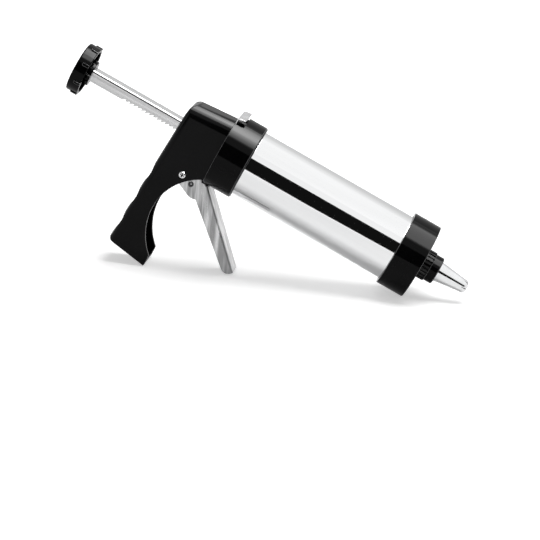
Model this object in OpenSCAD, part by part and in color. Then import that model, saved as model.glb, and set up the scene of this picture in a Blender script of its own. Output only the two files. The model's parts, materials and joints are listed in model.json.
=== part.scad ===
// Pastry syringe with a pistol grip and a ratchet plunger.
// Every piece is drawn in the gun's own frame: the barrel axis is X, zero is the back face of the collar,
// Y runs across and Z is up. The last step tips the gun nose down, as it stands on its grip and front cap.

/* [Barrel] */
// Outer diameter of the steel barrel
barrel_od = 50; // [44:1:60]
// Wall of the steel barrel
barrel_wall = 0.6; // [0.4:0.1:1.2]
// Length of the steel barrel
barrel_len = 151.6; // [130:0.2:180]

/* [Collar] */
// Wall of the collar around the barrel
collar_wall = 3.3; // [2.5:0.1:5]
// Length of the collar
collar_len = 22.3; // [18:0.1:28]
// Thickness of the collar's back wall
collar_back = 4; // [3.5:0.1:5]
// Depth of the shoulder that the barrel sits on, from the back face
collar_seat = 9; // [8.5:0.1:11]
// Width of the shoulder that the barrel sits on
collar_shoulder = 5; // [3:0.1:6]
// Chamfer on the collar's front edge
collar_chamfer = 1; // [0.5:0.1:2.2]

/* [Front cap] */
// Wall of the front cap around the barrel
cap_wall = 2.9; // [2:0.1:5]
// Length of the front cap
cap_len = 21.1; // [16:0.1:30]
// Thickness of the lip that holds the adapter
cap_lip = 1.6; // [1.4:0.1:4]
// Diameter of the round mouth in the front cap
cap_mouth_d = 41; // [30:0.5:43]
// Chamfer on the cap's edges
cap_chamfer = 0.7; // [0.3:0.1:1.5]

/* [Nozzle] */
// Thickness of the adapter's flange
flange_t = 2.5; // [1.5:0.1:4]
// Height of the adapter's raised face
adapter_face_h = 1.2; // [1:0.1:1.5]
// Outer diameter of the adapter's spigot
spigot_d = 19; // [17:0.1:22]
// Bore of the adapter's spigot
spigot_bore_d = 13.4; // [10:0.1:14]
// Length of the spigot in front of the raised face
spigot_len = 5; // [4:0.1:8]
// Wide end of the funnel in the back of the adapter
funnel_d = 34; // [20:0.5:38]
// Length of the nut's ribbed skirt
nut_skirt_len = 7.2; // [6.4:0.1:10]
// Wall of the nut's ribbed skirt
nut_wall = 1.7; // [1.4:0.1:3]
// Length of the nut's smooth nose
nut_nose_len = 6.3; // [4:0.1:10]
// Step between the ribbed skirt and the smooth nose
nut_step = 0.95; // [0.3:0.05:1.2]
// Number of grooves around the nut
nut_grooves = 24; // [12:1:30]
// Length of the piping tip
tip_len = 33; // [26:0.2:44]
// Diameter of the tip's wide end
tip_base_d = 17.4; // [15:0.1:17.6]
// Diameter of the tip where its end starts to close
tip_neck_d = 10; // [7:0.1:10.6]
// Length of the tip's closing end
tip_crown_len = 3.6; // [2.5:0.1:6]
// Diameter across the tip's end
tip_end_d = 6.2; // [4:0.1:6.6]
// Wall of the piping tip
tip_wall = 0.5; // [0.3:0.05:0.8]
// Number of slits in the tip's end
tip_slits = 6; // [4:1:8]
// Width of a slit at the tip's end
tip_slit_w = 1.3; // [0.6:0.1:1.6]

/* [Handle body] */
// Width of the handle body
body_w = 29; // [27:0.5:36]
// Wall of the handle body
body_wall = 2.5; // [2:0.1:3]
// Length of the housing behind the collar
body_len = 33.7; // [32:0.1:42]
// Height of the housing's top above the axis, at the collar
top_front = 23.6; // [21:0.1:24.5]
// Slope of the housing's top, down to the back
top_slope = 4.5; // [0:0.5:8]
// Radius of the housing's long top edges
top_round = 11; // [6:0.5:12]
// Radius of the housing's rear top corner
rear_round = 7; // [4:0.5:8]
// Radius of the long edges of the housing's back
back_round = 5; // [3.5:0.5:7]
// Lean of the grip's back edge, per millimetre down
back_lean = 0.052; // [0:0.001:0.06]
// Spacing of the shallow waves in the grip's back edge
wave_pitch = 21; // [16:0.5:23]
// Depth of the waves
wave_depth = 1.2; // [0:0.1:2]
// Depth of the grip's toe below the axis
toe_drop = 102.6; // [95:0.2:115]
// Distance of the grip's toe behind the collar's back face
toe_back = 8; // [3:0.1:12]
// Height of the toe's flat front edge
toe_h = 8.8; // [5:0.1:14]
// Slope of the grip's bottom edge
foot_slope = 8.5; // [0:0.5:15]
// Radius of the grip's rear bottom corner
heel_round = 3.5; // [2.6:0.1:6]
// Depth of the grip's throat below the axis
throat_drop = 60.3; // [55:0.1:65]
// Distance of the throat behind the collar's back face
throat_back = 22.6; // [19:0.1:25]
// Radius of the arch above the throat
arch_r = 40.8; // [37:0.1:43]

/* [Plunger] */
// Width of the plunger rod
rod_w = 13; // [11:0.1:14]
// Height of the plunger rod
rod_h = 8.5; // [7.5:0.1:9.5]
// Sheet thickness of the plunger rod
rod_sheet = 1.2; // [0.8:0.1:1.8]
// Outer radius of the rod's two folds
rod_fold = 1.8; // [1.6:0.1:2.5]
// Length of rod that shows behind the housing
pulled_out = 73; // [20:1:74]
// Plain length of the rod in front of the knob
rod_plain = 30; // [10:1:40]
// Spacing of the rod's teeth
tooth_pitch = 3.24; // [2.4:0.02:4.5]
// Depth of the rod's teeth
tooth_depth = 1.6; // [1:0.1:2.2]
// Diameter of the knob
knob_d = 37; // [30:0.5:44]
// Thickness of the knob
knob_t = 9.5; // [8:0.1:14]
// Wall of the knob's rim and back
knob_wall = 2.4; // [1.6:0.1:3]
// Diameter of the knob's hub
hub_d = 19; // [18:0.1:22]
// Length of the hub in front of the rim
hub_proud = 2.9; // [1:0.1:5]
// Number of lugs around the knob
knob_lugs = 8; // [6:1:12]
// Length of a lug
lug_len = 5.4; // [3:0.1:7]
// Width of a lug
lug_w = 2.4; // [1.5:0.1:4]
// Height of a lug above the rim
lug_h = 0.9; // [0.4:0.1:1.5]
// Diameter of the pin that holds the knob
knob_pin_d = 2.4; // [2:0.1:3]
// Diameter of the hub behind the piston
piston_hub_d = 22; // [20:0.5:28]
// Length of the hub behind the piston
piston_hub_len = 16; // [15:0.5:20]
// Thickness of the piston disc
piston_t = 8; // [6:0.2:12]
// Width of the piston's seal
seal_w = 3.2; // [2:0.1:4]
// Depth of the seal's groove
seal_depth = 2; // [1.5:0.1:3]

/* [Trigger] */
// Width of the trigger
trigger_w = 20; // [17:0.2:21]
// Sheet thickness of the trigger
trigger_sheet = 1.2; // [0.8:0.1:1.6]
// Distance of the pivot behind the collar's back face
pivot_back = 15; // [14:0.1:17]
// Depth of the pivot below the axis
pivot_drop = 28.4; // [27:0.1:30]
// Slope of the trigger's front face
arm_angle = 45.4; // [40:0.2:50]
// Distance of the trigger's front face from the pivot
arm_front = 14.45; // [13:0.05:16]
// Reach of the trigger's end from the pivot
arm_reach = 79.6; // [60:0.2:82]
// Width of the trigger at its root
arm_root_w = 11.2; // [9:0.1:13]
// Width of the trigger near its end
arm_end_w = 7.6; // [6:0.1:9]
// Radius of the trigger's rounded end
arm_end_round = 5.5; // [3:0.1:6]
// Radius of the trigger's ears around the pivot
ear_r = 7; // [6:0.1:7.5]
// Radius of the hook hole in the trigger's ear
hook_hole_r = 1.9; // [1.3:0.05:2.4]
// Swing of the trigger when it is squeezed
squeeze = 28; // [20:1:30]
// Diameter of the sleeve that the trigger turns on
sleeve_d = 3.8; // [3.4:0.1:4.6]
// Diameter of the pivot screw's head
pivot_head_d = 5; // [4.6:0.1:6]
// Height of the pivot screw's head
pivot_head_h = 1.5; // [1:0.1:2]
// Distance from the pivot to the pawl's pin
pawl_arm = 13; // [12:0.1:14]
// Diameter of the pawl's pin
pawl_pin_d = 3; // [2.5:0.1:3.4]

/* [Release] */
// Width of the release plate's tab
tab_w = 29; // [24:0.5:32]
// Length of the tab
tab_len = 6.4; // [5:0.1:7]
// Slope of the tab, up to the front
tab_slope = 9; // [0:1:12]
// Thickness of the release plate
plate_t = 0.9; // [0.6:0.1:1]
// Height of the tab above the collar's top
tab_rise = 0.1; // [0:0.1:1]
// Travel of the release plate
press = 2.5; // [2:0.1:3]

/* [Springs] */
// Wire of the trigger's return spring
return_wire = 1.2; // [0.8:0.1:1.2]
// Curls of the return spring
return_curls = 4; // [3:1:5]
// Wire of the pawl's spring
pawl_wire = 0.6; // [0.4:0.1:0.6]
// Curls of the pawl's spring
pawl_curls = 3; // [2:1:3]
// Wire of the release plate's spring
release_wire = 0.5; // [0.4:0.05:0.6]
// Curls of the release plate's spring
release_curls = 5; // [4:1:6]

/* [Fits] */
// Gap around pieces that slide
slide_gap = 0.35; // [0.3:0.05:0.6]
// Gap around pins and sleeves that turn
run_gap = 0.05; // [0.03:0.01:0.08]
// Gap between faces that seat on each other
seat_gap = 0.05; // [0.02:0.01:0.1]
// Room for the thread between the cap and the barrel
thread_gap = 0.6; // [0.5:0.1:0.9]
// Gap between the piston's seal and the barrel
seal_gap = 0.1; // [0.05:0.01:0.2]

/* [Hidden] */
$fn = 64;

// Cuts run this far past the faces they go through
past = 1;
// Belts lie this far inside their circles, so that they cross them cleanly
belt_in = 0.02;

// Barrel and collar
barrel_r = barrel_od / 2;
barrel_bore_r = barrel_r - barrel_wall;
collar_bore_r = barrel_r + seat_gap;
collar_r = collar_bore_r + collar_wall;
collar_inner_r = collar_bore_r - collar_shoulder;
barrel_back = collar_seat + seat_gap;
barrel_end = barrel_back + barrel_len;

// Front cap, adapter, nut and tip, each set from the one behind it
flange_back = barrel_end + seat_gap;
flange_front = flange_back + flange_t;
cap_seat = flange_front + seat_gap;
cap_front = cap_seat + cap_lip;
cap_back = cap_front - cap_len;
cap_bore_r = barrel_r + thread_gap;
cap_r = cap_bore_r + cap_wall;
flange_r = barrel_r - seat_gap;
face_front = flange_front + adapter_face_h;
spigot_end = face_front + spigot_len;
nut_back = cap_front + seat_gap;
nut_bore_r = spigot_d / 2 + seat_gap;
nut_r = nut_bore_r + nut_wall;
nose_r = nut_r - nut_step;
nut_shoulder = nut_back + nut_skirt_len;
nut_front = nut_shoulder + nut_nose_len;
groove_r = 0.8;
tip_back = spigot_end + seat_gap;
tip_front = tip_back + tip_len;
tip_cone_end = tip_front - tip_crown_len;
tip_taper = (tip_base_d - tip_neck_d) / 2 / (tip_len - tip_crown_len);
tip_rim_r = nut_bore_r - seat_gap;
tip_rim_t = 0.8;
nut_clamp = tip_back + tip_rim_t + seat_gap;

// Housing and grip outline
body_half = body_w / 2;
body_inner_half = body_half - body_wall;
toe = [-toe_back, -toe_drop];
throat = [-throat_back, -throat_drop];
arch_centre = throat + [arch_r, 0];
toe_top = toe + [0, toe_h];
// Radius of the long arc from the throat down to the top of the toe
sweep_dx = toe_top.x - throat.x;
sweep_dy = throat.y - toe_top.y;
sweep_r = (sweep_dx * sweep_dx + sweep_dy * sweep_dy) / (2 * sweep_dx);
sweep_centre = throat + [sweep_r, 0];
wave_low = -29;
wave_count = 3;
back_step = 3.5;
rod_slot_w = rod_w + 2 * slide_gap;
rod_slot_h = rod_h + 2 * slide_gap;

// Screws between collar and housing, inside the collar's shoulder and the housing's walls
screw_r = 1.25;
screw_head_r = 2.3;
screw_head_h = 1.5;
screw_len = 9;
screw_boss_r = 2.9;
screw_y = body_inner_half - screw_boss_r / 4;
screw_ring = collar_inner_r - screw_head_r - slide_gap;
screw_up = min(sqrt(screw_ring * screw_ring - screw_y * screw_y), top_front - top_round + seat_gap);
screw_down = -screw_up;
upper_boss_len = 12;
lower_boss_len = 6.5;
upper_screws = [[-screw_y, screw_up], [screw_y, screw_up]];
lower_screws = [[-screw_y, screw_down], [screw_y, screw_down]];

// Plunger, from the knob's hub to the piston's face
body_back = -body_len;
hub_front = body_back - pulled_out;
rim_front = hub_front - hub_proud;
knob_back = rim_front - knob_t;
rod_back = knob_back + knob_wall + seat_gap;
piston_end_gap = 1;
piston_front = barrel_end - pulled_out - piston_end_gap;
piston_back = piston_front - piston_t;
piston_hub_back = piston_back - seat_gap - piston_hub_len;
rod_socket = 9;
rod_front = piston_hub_back + rod_socket;
knob_pin_at = hub_front - 4.2;
piston_pin_at = piston_hub_back + 5;
piston_pin_d = 2.6;
pin_gap = 0.02;
piston_r = barrel_bore_r - slide_gap;
seal_r = barrel_bore_r - seal_gap;
piston_screw_r = 2;
piston_screw_len = 6;
piston_head_r = 4;
piston_head_h = 2.4;
tooth_start = hub_front + rod_plain;
tooth_room = piston_hub_back - 2 - tooth_start;
tooth_count = floor(tooth_room / tooth_pitch);

// Trigger, pivot and pawl
pivot = [-pivot_back, -pivot_drop];
sleeve_r = sleeve_d / 2;
pivot_head_r = pivot_head_d / 2;
pivot_screw_r = 1.2;
head_sink = 0.8;
ear_half = trigger_w / 2;
ear_inner = ear_half - trigger_sheet;
pivot_boss_r = 4.6;
pawl_at = pivot + pawl_arm * [-sin(squeeze / 2), cos(squeeze / 2)];
pawl_ear_r = 4.4;
pawl_pin_r = pawl_pin_d / 2;
pawl_hub_r = 3.2;
pawl_half = rod_w / 2 + 0.5;
pawl_top = -rod_h / 2 - slide_gap - pawl_arm * (1 - cos(squeeze / 2));
lobe = [13, arm_front - 8.85];
lobe_r = 7.6;
hook_hole = [8.67, 3.24];
collar_clear = 0.7;

// Release plate, in its pocket in the collar's back face
plate_back = 0.15;
plate_front = plate_back + plate_t;
pocket_depth = plate_front + plate_back;
tab_half = tab_w / 2;
tab_base = collar_r + tab_rise;
head_low = screw_up + screw_r + 0.6 + press + slide_gap;
stem_half = rod_w / 2 + slide_gap + 2.1;
plate_low = -12;
notch_len = plate_back + tab_len + 0.7;
notch_floor = tab_base - plate_t - press - 1.2;
foot_reach = 5;
foot_half = 4;
shelf_t = 1.8;
release_coil_r = 1.6;
release_coil_at = -3.2;
shelf_top = plate_low - 6.8;

// Return spring and pawl spring
return_coil_r = 4.2;
return_pitch = return_wire + 0.5;
return_half = return_curls * return_pitch / 2;
pawl_coil_r = 2.4;
pawl_coil_pitch = pawl_wire + 0.46;
pawl_coil_y = 4.95;
pawl_hub_end = pawl_coil_y - pawl_wire / 2 - 0.2;

// Stance: the gun leans on the grip's toe and on the front cap's lower rim
cap_rim = [cap_front - cap_chamfer, -cap_r];
tilt = atan2(cap_rim.y - toe.y, cap_rim.x - toe.x);
floor_z = toe.y * cos(tilt) - toe.x * sin(tilt);
knob_low_x = knob_back * cos(tilt) - (knob_d - knob_wall) / 2 * sin(tilt);
tip_high_x = tip_front * cos(tilt) + (tip_end_d / 2) * sin(tilt);
stance_x = -(knob_low_x + tip_high_x) / 2;
echo(tilt = tilt, stance_x = stance_x, stance_z = -floor_z);

// Points on an arc
function arc(centre, r, from, to, steps) = [
    for (i = [0 : steps])
        let (a = from + (to - from) * i / steps)
        centre + r * [cos(a), sin(a)]
];

// Height of the housing's top at a place along the axis
function top_at(s) = top_front + s * tan(top_slope);

// Height of the grip's bottom edge at a place along the axis
function foot_at(s) = toe.y + (toe.x - s) * tan(foot_slope);

// Back edge of the housing and grip at a height, with its three shallow waves
function wave_at(z) =
    (z > wave_low || z < wave_low - wave_count * wave_pitch) ? 0
    : wave_depth / 2 * (1 - cos(360 * (z - wave_low) / wave_pitch));
function back_at(z) = -body_len + back_lean * (z - top_front) + wave_at(z);

// Tangent belt around two circles, as four points
function belt(a, ra, b, rb) =
    let (
        d = b - a,
        way = atan2(d.y, d.x),
        turn = acos((ra - rb) / norm(d))
    )
    [
        a + ra * [cos(way + turn), sin(way + turn)],
        b + rb * [cos(way + turn), sin(way + turn)],
        b + rb * [cos(way - turn), sin(way - turn)],
        a + ra * [cos(way - turn), sin(way - turn)]
    ];

// From the trigger's own frame, along and in front of its arm, to the gun's frame
function from_arm(p) = pivot + [
    p.x * cos(arm_angle) + p.y * sin(arm_angle),
    p.y * cos(arm_angle) - p.x * sin(arm_angle)
];

// Unit vector, and the directions along a route
function unit(v) = v / norm(v);
function headings(route) = [
    for (i = [0 : len(route) - 1])
        unit(route[min(i + 1, len(route) - 1)] - route[max(i - 1, 0)])
];
function any_side(t) = abs(t.y) < 0.9 ? unit(cross(t, [0, 1, 0])) : unit(cross(t, [1, 0, 0]));
function flatten_to(v, t) = unit(v - (v * t) * t);

// A side vector carried along a route without twist
function sides_along(t) = [
    for (
        i = 0, side = any_side(t[0]);
        i < len(t);
        i = i + 1, side = flatten_to(side, t[min(i, len(t) - 1)])
    )
        side
];

// Least gap of a wire to itself, left out near neighbours along the route
function least_gap(route, wire, skip) = min([
    for (i = [0 : len(route) - 1 - skip])
        for (j = [i + skip : len(route) - 1])
            norm(route[i] - route[j])
]) - wire;

// Turns a side view, along and up, into a solid between two places across
module across(from, to) {
    translate([0, to, 0]) rotate([90, 0, 0]) linear_extrude(to - from) children();
}

// Turns a cross-section, across and up, into a solid between two places along the axis
module along(from, to) {
    translate([from, 0, 0]) rotate([90, 0, 90]) linear_extrude(to - from) children();
}

// Turns a profile, radius and place along the axis, about the barrel axis
module turned() {
    rotate([0, 90, 0]) rotate_extrude() children();
}

// Bar along the barrel axis, at a place across and up
module axial_bar(r, from, to, at = [0, 0]) {
    translate([from, at.x, at.y]) rotate([0, 90, 0]) cylinder(r = r, h = to - from);
}

// Bar across the gun, at a place along and up
module cross_bar(r, from, to, at) {
    translate([at.x, to, at.y]) rotate([90, 0, 0]) cylinder(r = r, h = to - from);
}

// Rectangle set by its centre
module plate_2d(w, h) {
    square([w, h], center = true);
}

// Outline of two circles and the belt around them
module link_2d(a, ra, b, rb) {
    translate(a) circle(r = ra);
    translate(b) circle(r = rb);
    polygon(belt(a, ra - belt_in, b, rb - belt_in));
}

// Wire of round section along a route
module wire_along(route, wire) {
    ring = 6;
    t = headings(route);
    side = sides_along(t);
    rows = len(route);
    points = [
        for (i = [0 : rows - 1])
            for (k = [0 : ring - 1])
                let (a = 360 * k / ring)
                route[i] + wire / 2 * (cos(a) * side[i] + sin(a) * cross(t[i], side[i]))
    ];
    walls = [
        for (i = [0 : rows - 2])
            for (k = [0 : ring - 1])
                let (
                    a = i * ring + k,
                    b = i * ring + (k + 1) % ring
                )
                each [[a, a + ring, b + ring], [a, b + ring, b]]
    ];
    caps = [
        for (k = [1 : ring - 2])
            each [[0, k, k + 1], [(rows - 1) * ring, (rows - 1) * ring + k + 1, (rows - 1) * ring + k]]
    ];
    polyhedron(points = points, faces = concat(walls, caps), convexity = 8);
}

// Tips the gun nose down and stands it on the floor, over the origin
module stance() {
    translate([stance_x, 0, -floor_z]) rotate([0, tilt, 0]) children();
}

// Round-topped section that the housing's top follows
module top_section(half, round) {
    translate([-half, -2 * toe_drop]) square([2 * half, 2 * toe_drop - round]);
    translate([-(half - round), -2 * toe_drop]) square([2 * (half - round), 2 * toe_drop]);
    for (side = [-1, 1]) translate([side * (half - round), -round]) circle(r = round);
}
module top_limit(half, round, drop) {
    translate([0, 0, top_front - drop])
        rotate([0, -top_slope, 0])
            along(-2 * toe_drop, toe_drop) top_section(half, round);
}

// Round-backed section that the housing's back follows
module back_section(half, round) {
    translate([round, -half]) square([2 * toe_drop, 2 * half]);
    translate([0, -(half - round)]) square([2 * toe_drop, 2 * (half - round)]);
    for (side = [-1, 1]) translate([round, side * (half - round)]) circle(r = round);
}
module back_limit(half, round, inset) {
    translate([inset - body_len - belt_in, 0, top_front])
        rotate([0, atan(back_lean), 0])
            translate([0, 0, -2 * toe_drop])
                linear_extrude(3 * toe_drop) back_section(half, round);
}

// Side view of the housing and grip, drawn in by a wall, with its front edge at a given place
module grip_outline(inset, front) {
    corner = [back_at(top_front) + rear_round, top_at(-body_len) - rear_round];
    heel = [back_at(toe.y + heel_round) + heel_round, 0];
    heel_at = [heel.x, foot_at(heel.x) + heel_round / cos(foot_slope)];
    back = [
        for (z = [corner.y - back_step : -back_step : heel_at.y + back_step / 2])
            [back_at(z) + inset, z]
    ];
    polygon(concat(
        [[front, top_at(front) - inset]],
        arc(corner, rear_round - inset, 90 + top_slope, 180, 6),
        back,
        arc(heel_at, heel_round - inset, 180, 270 - foot_slope, 6),
        [[front, foot_at(front) + inset / cos(foot_slope)]]
    ));
}

// Space in front of the grip: the arch, the long sweep below it and the room in front of the toe
module finger_room_2d() {
    intersection() {
        translate(arch_centre) circle(r = arch_r);
        translate([throat.x - past, throat.y]) square([4 * arch_r, 2 * arch_r]);
    }
    intersection() {
        translate(sweep_centre) circle(r = sweep_r);
        translate([throat.x - past, 2 * toe.y]) square([4 * sweep_r, throat.y - 2 * toe.y]);
    }
    translate([toe.x, 2 * toe.y]) square([toe_drop, throat.y - 2 * toe.y]);
}

module body_outside() {
    intersection() {
        across(-body_half, body_half)
            difference() {
                grip_outline(0, 0);
                finger_room_2d();
            }
        top_limit(body_half, top_round, 0);
        back_limit(body_half, back_round, 0);
    }
}
module body_inside() {
    intersection() {
        across(-body_inner_half, body_inner_half) grip_outline(body_wall, past);
        top_limit(body_inner_half, top_round - body_wall, body_wall);
        back_limit(body_inner_half, back_round - body_wall, body_wall);
    }
}

// Bosses inside the housing, for the pivot and for the collar's screws
module body_bosses() {
    boss_from = ear_half + slide_gap;
    cross_bar(pivot_boss_r, boss_from, body_half, pivot);
    cross_bar(pivot_boss_r, -body_half, -boss_from, pivot);
    for (at = upper_screws) axial_bar(screw_boss_r, -upper_boss_len, 0, at);
    for (at = lower_screws) axial_bar(screw_boss_r, -lower_boss_len, 0, at);
}

module handle_body() {
    pilot_r = screw_r + seat_gap;
    color([0.05, 0.05, 0.055]) stance() difference() {
        union() {
            difference() {
                body_outside();
                body_inside();
            }
            intersection() {
                body_outside();
                body_bosses();
            }
        }
        along(2 * body_back, body_back / 2) plate_2d(rod_slot_w, rod_slot_h);
        cross_bar(sleeve_r + run_gap, -body_half - past, body_half + past, pivot);
        cross_bar(pivot_head_r + seat_gap, body_half - head_sink, body_half + past, pivot);
        cross_bar(pivot_head_r + seat_gap, -body_half - past, -body_half + head_sink, pivot);
        for (at = upper_screws) axial_bar(pilot_r, -screw_len, past, at);
        for (at = lower_screws) axial_bar(pilot_r, -lower_boss_len - past, past, at);
    }
}

module collar_profile() {
    polygon([
        [0, 0],
        [collar_r, 0],
        [collar_r, collar_len - collar_chamfer],
        [collar_r - collar_chamfer, collar_len],
        [collar_bore_r, collar_len],
        [collar_bore_r, collar_seat],
        [collar_inner_r, collar_seat],
        [collar_inner_r, collar_back],
        [0, collar_back]
    ]);
}

// Pocket in the collar's back face that the release plate slides in
module plate_pocket_2d() {
    low = plate_low - press - slide_gap;
    stem = stem_half + plate_back;
    translate([-stem, low]) square([2 * stem, head_low - low]);
    translate([-tab_half - slide_gap, head_low - press - slide_gap])
        square([tab_w + 2 * slide_gap, 2 * collar_r]);
}

// Notch in the collar's top that the tab is pressed into
module tab_notch_2d() {
    difference() {
        translate([-tab_half - slide_gap, 0]) square([tab_w + 2 * slide_gap, 2 * collar_r]);
        circle(notch_floor);
    }
}

module barrel_collar() {
    color([0.04, 0.04, 0.045]) stance() {
        difference() {
            turned() collar_profile();
            along(-past, collar_back + past) plate_2d(rod_slot_w, rod_slot_h);
            along(-past, pocket_depth) plate_pocket_2d();
            along(-past, notch_len) tab_notch_2d();
            for (at = concat(upper_screws, lower_screws))
                axial_bar(screw_r + 2 * seat_gap, -past, collar_back + past, at);
        }
        along(-foot_reach - past, seat_gap)
            translate([-foot_half, shelf_top - shelf_t]) square([2 * foot_half, shelf_t]);
    }
}

module collar_screw(at, length) {
    head = collar_back + seat_gap;
    axial_bar(screw_r, head - length, head + screw_head_h / 2, at);
    axial_bar(screw_head_r, head, head + screw_head_h, at);
}
module collar_screws() {
    color([0.62, 0.62, 0.64]) stance() {
        for (at = upper_screws) collar_screw(at, screw_len + collar_back - past);
        for (at = lower_screws) collar_screw(at, lower_boss_len + collar_back - past);
    }
}

module barrel_tube() {
    color([0.82, 0.83, 0.85]) stance() turned()
        translate([barrel_bore_r, barrel_back]) square([barrel_wall, barrel_len]);
}

module front_cap() {
    mouth_r = cap_mouth_d / 2;
    color([0.04, 0.04, 0.045]) stance() turned() polygon([
        [cap_bore_r, cap_back],
        [cap_r - cap_chamfer, cap_back],
        [cap_r, cap_back + cap_chamfer],
        [cap_r, cap_front - cap_chamfer],
        [cap_r - cap_chamfer, cap_front],
        [mouth_r, cap_front],
        [mouth_r, cap_seat],
        [cap_bore_r, cap_seat]
    ]);
}

module nozzle_adapter() {
    face_r = cap_mouth_d / 2 - slide_gap;
    color([0.05, 0.05, 0.055]) stance() turned() polygon([
        [funnel_d / 2, flange_back],
        [flange_r, flange_back],
        [flange_r, flange_front],
        [face_r, flange_front],
        [face_r, face_front],
        [spigot_d / 2, face_front],
        [spigot_d / 2, spigot_end],
        [spigot_bore_d / 2, spigot_end],
        [spigot_bore_d / 2, face_front]
    ]);
}

// Outer radius of the tip's cone at a place along the axis
function tip_r_at(s) = tip_base_d / 2 - tip_taper * (s - tip_back);

module nozzle_nut() {
    color([0.04, 0.04, 0.045]) stance() difference() {
        turned() polygon([
            [nut_bore_r, nut_back],
            [nut_r, nut_back],
            [nut_r, nut_shoulder],
            [nose_r, nut_shoulder],
            [nose_r, nut_front],
            [tip_r_at(nut_front) + 2 * seat_gap, nut_front],
            [tip_r_at(nut_clamp) + 2 * seat_gap, nut_clamp],
            [nut_bore_r, nut_clamp]
        ]);
        for (k = [0 : nut_grooves - 1])
            rotate([360 * k / nut_grooves, 0, 0])
                axial_bar(groove_r, nut_back - past, nut_shoulder - groove_r, [0, nut_r]);
    }
}

// The tip: a cone of thin sheet with a rim at its wide end and a rounded, slit crown
module tip_profile() {
    neck = tip_neck_d / 2;
    end = tip_end_d / 2;
    bulge = tip_cone_end + tip_crown_len * 0.6;
    bulge_r = (neck + end) / 2 + tip_wall;
    polygon([
        [tip_rim_r, tip_back],
        [tip_rim_r, tip_back + tip_rim_t],
        [tip_r_at(tip_back + tip_rim_t), tip_back + tip_rim_t],
        [neck, tip_cone_end],
        [bulge_r, bulge],
        [end, tip_front],
        [end - tip_wall, tip_front],
        [bulge_r - tip_wall, bulge],
        [neck - tip_wall, tip_cone_end],
        [tip_base_d / 2 - tip_wall, tip_back]
    ]);
}
module piping_tip() {
    slit_root = tip_cone_end - tip_crown_len / 3;
    color([0.8, 0.81, 0.83]) stance() difference() {
        turned() tip_profile();
        for (k = [0 : tip_slits - 1])
            rotate([360 * (k + 0.5) / tip_slits, 0, 0])
                linear_extrude(tip_neck_d)
                    polygon([
                        [slit_root, 0],
                        [tip_front + past, -tip_slit_w / 2],
                        [tip_front + past, tip_slit_w / 2]
                    ]);
    }
}

// Folded channel of the rod, open below, in cross-section
module rod_section() {
    half = rod_w / 2;
    top = rod_h / 2;
    difference() {
        union() {
            translate([-half, -top]) square([rod_w, rod_h - rod_fold]);
            translate([-(half - rod_fold), -top]) square([rod_w - 2 * rod_fold, rod_h]);
            for (side = [-1, 1])
                translate([side * (half - rod_fold), top - rod_fold]) circle(r = rod_fold);
        }
        translate([-(half - rod_sheet), -top - past])
            square([rod_w - 2 * rod_sheet, rod_h - rod_sheet + past]);
    }
}

// Side view of the rod: steep tooth faces look back to the knob, ramps rise to the front
module rod_side() {
    tip_z = -rod_h / 2;
    root_z = tip_z + tooth_depth;
    teeth = [
        for (i = [0 : tooth_count - 1])
            let (s = tooth_start + i * tooth_pitch)
            each [[s, root_z], [s, tip_z], [s + tooth_pitch * 0.15, tip_z]]
    ];
    last = tooth_start + tooth_count * tooth_pitch;
    polygon(concat(
        [[rod_back, rod_h], [rod_back, tip_z], [tooth_start - tooth_pitch, tip_z]],
        teeth,
        [[last, root_z], [last, tip_z], [rod_front, tip_z], [rod_front, rod_h]]
    ));
}

module plunger_rod() {
    color([0.72, 0.72, 0.74]) stance() difference() {
        intersection() {
            along(rod_back, rod_front) rod_section();
            across(-rod_w, rod_w) rod_side();
        }
        cross_bar(knob_pin_d / 2 + pin_gap, -rod_w, rod_w, [knob_pin_at, 0]);
        cross_bar(piston_pin_d / 2 + pin_gap, -rod_w, rod_w, [piston_pin_at, 0]);
    }
}

module plunger_knob() {
    r = knob_d / 2;
    hub_r = hub_d / 2;
    flutes = 12;
    flute_r = 0.7;
    color([0.05, 0.05, 0.055]) stance() difference() {
        union() {
            turned() polygon([
                [0, knob_back],
                [r - knob_wall / 2, knob_back],
                [r, knob_back + knob_wall / 2],
                [r, rim_front],
                [r - knob_wall, rim_front],
                [r - knob_wall, knob_back + knob_wall],
                [hub_r, knob_back + knob_wall],
                [hub_r, hub_front],
                [0, hub_front]
            ]);
            for (k = [0 : knob_lugs - 1])
                rotate([360 * (k + 0.5) / knob_lugs, 0, 0])
                    translate([rim_front - lug_len, -lug_w / 2, r - knob_wall / 2])
                        cube([lug_len, lug_w, knob_wall / 2 + lug_h]);
        }
        for (k = [0 : flutes - 1])
            rotate([360 * k / flutes, 0, 0])
                axial_bar(flute_r, knob_back + knob_wall, hub_front + past, [0, hub_r]);
        along(rod_back - seat_gap, hub_front + past)
            plate_2d(rod_w + 2 * seat_gap, rod_h + 2 * seat_gap);
        cross_bar(knob_pin_d / 2 + pin_gap, -hub_r - past, hub_r + past, [knob_pin_at, 0]);
    }
}

module knob_pin() {
    half = hub_d / 2 - 0.4;
    color([0.6, 0.6, 0.62]) stance() cross_bar(knob_pin_d / 2, -half, half, [knob_pin_at, 0]);
}

module piston_hub() {
    r = piston_hub_d / 2;
    front = piston_back - seat_gap;
    color([0.05, 0.05, 0.055]) stance() difference() {
        axial_bar(r, piston_hub_back, front);
        along(piston_hub_back - past, rod_front + seat_gap)
            plate_2d(rod_w + 2 * seat_gap, rod_h + 2 * seat_gap);
        cross_bar(piston_pin_d / 2 + pin_gap, -r - past, r + past, [piston_pin_at, 0]);
        axial_bar(piston_screw_r + pin_gap, front - piston_screw_len, front + past);
    }
}

module piston_pin() {
    half = piston_hub_d / 2 - 0.4;
    color([0.6, 0.6, 0.62]) stance() cross_bar(piston_pin_d / 2, -half, half, [piston_pin_at, 0]);
}

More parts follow.
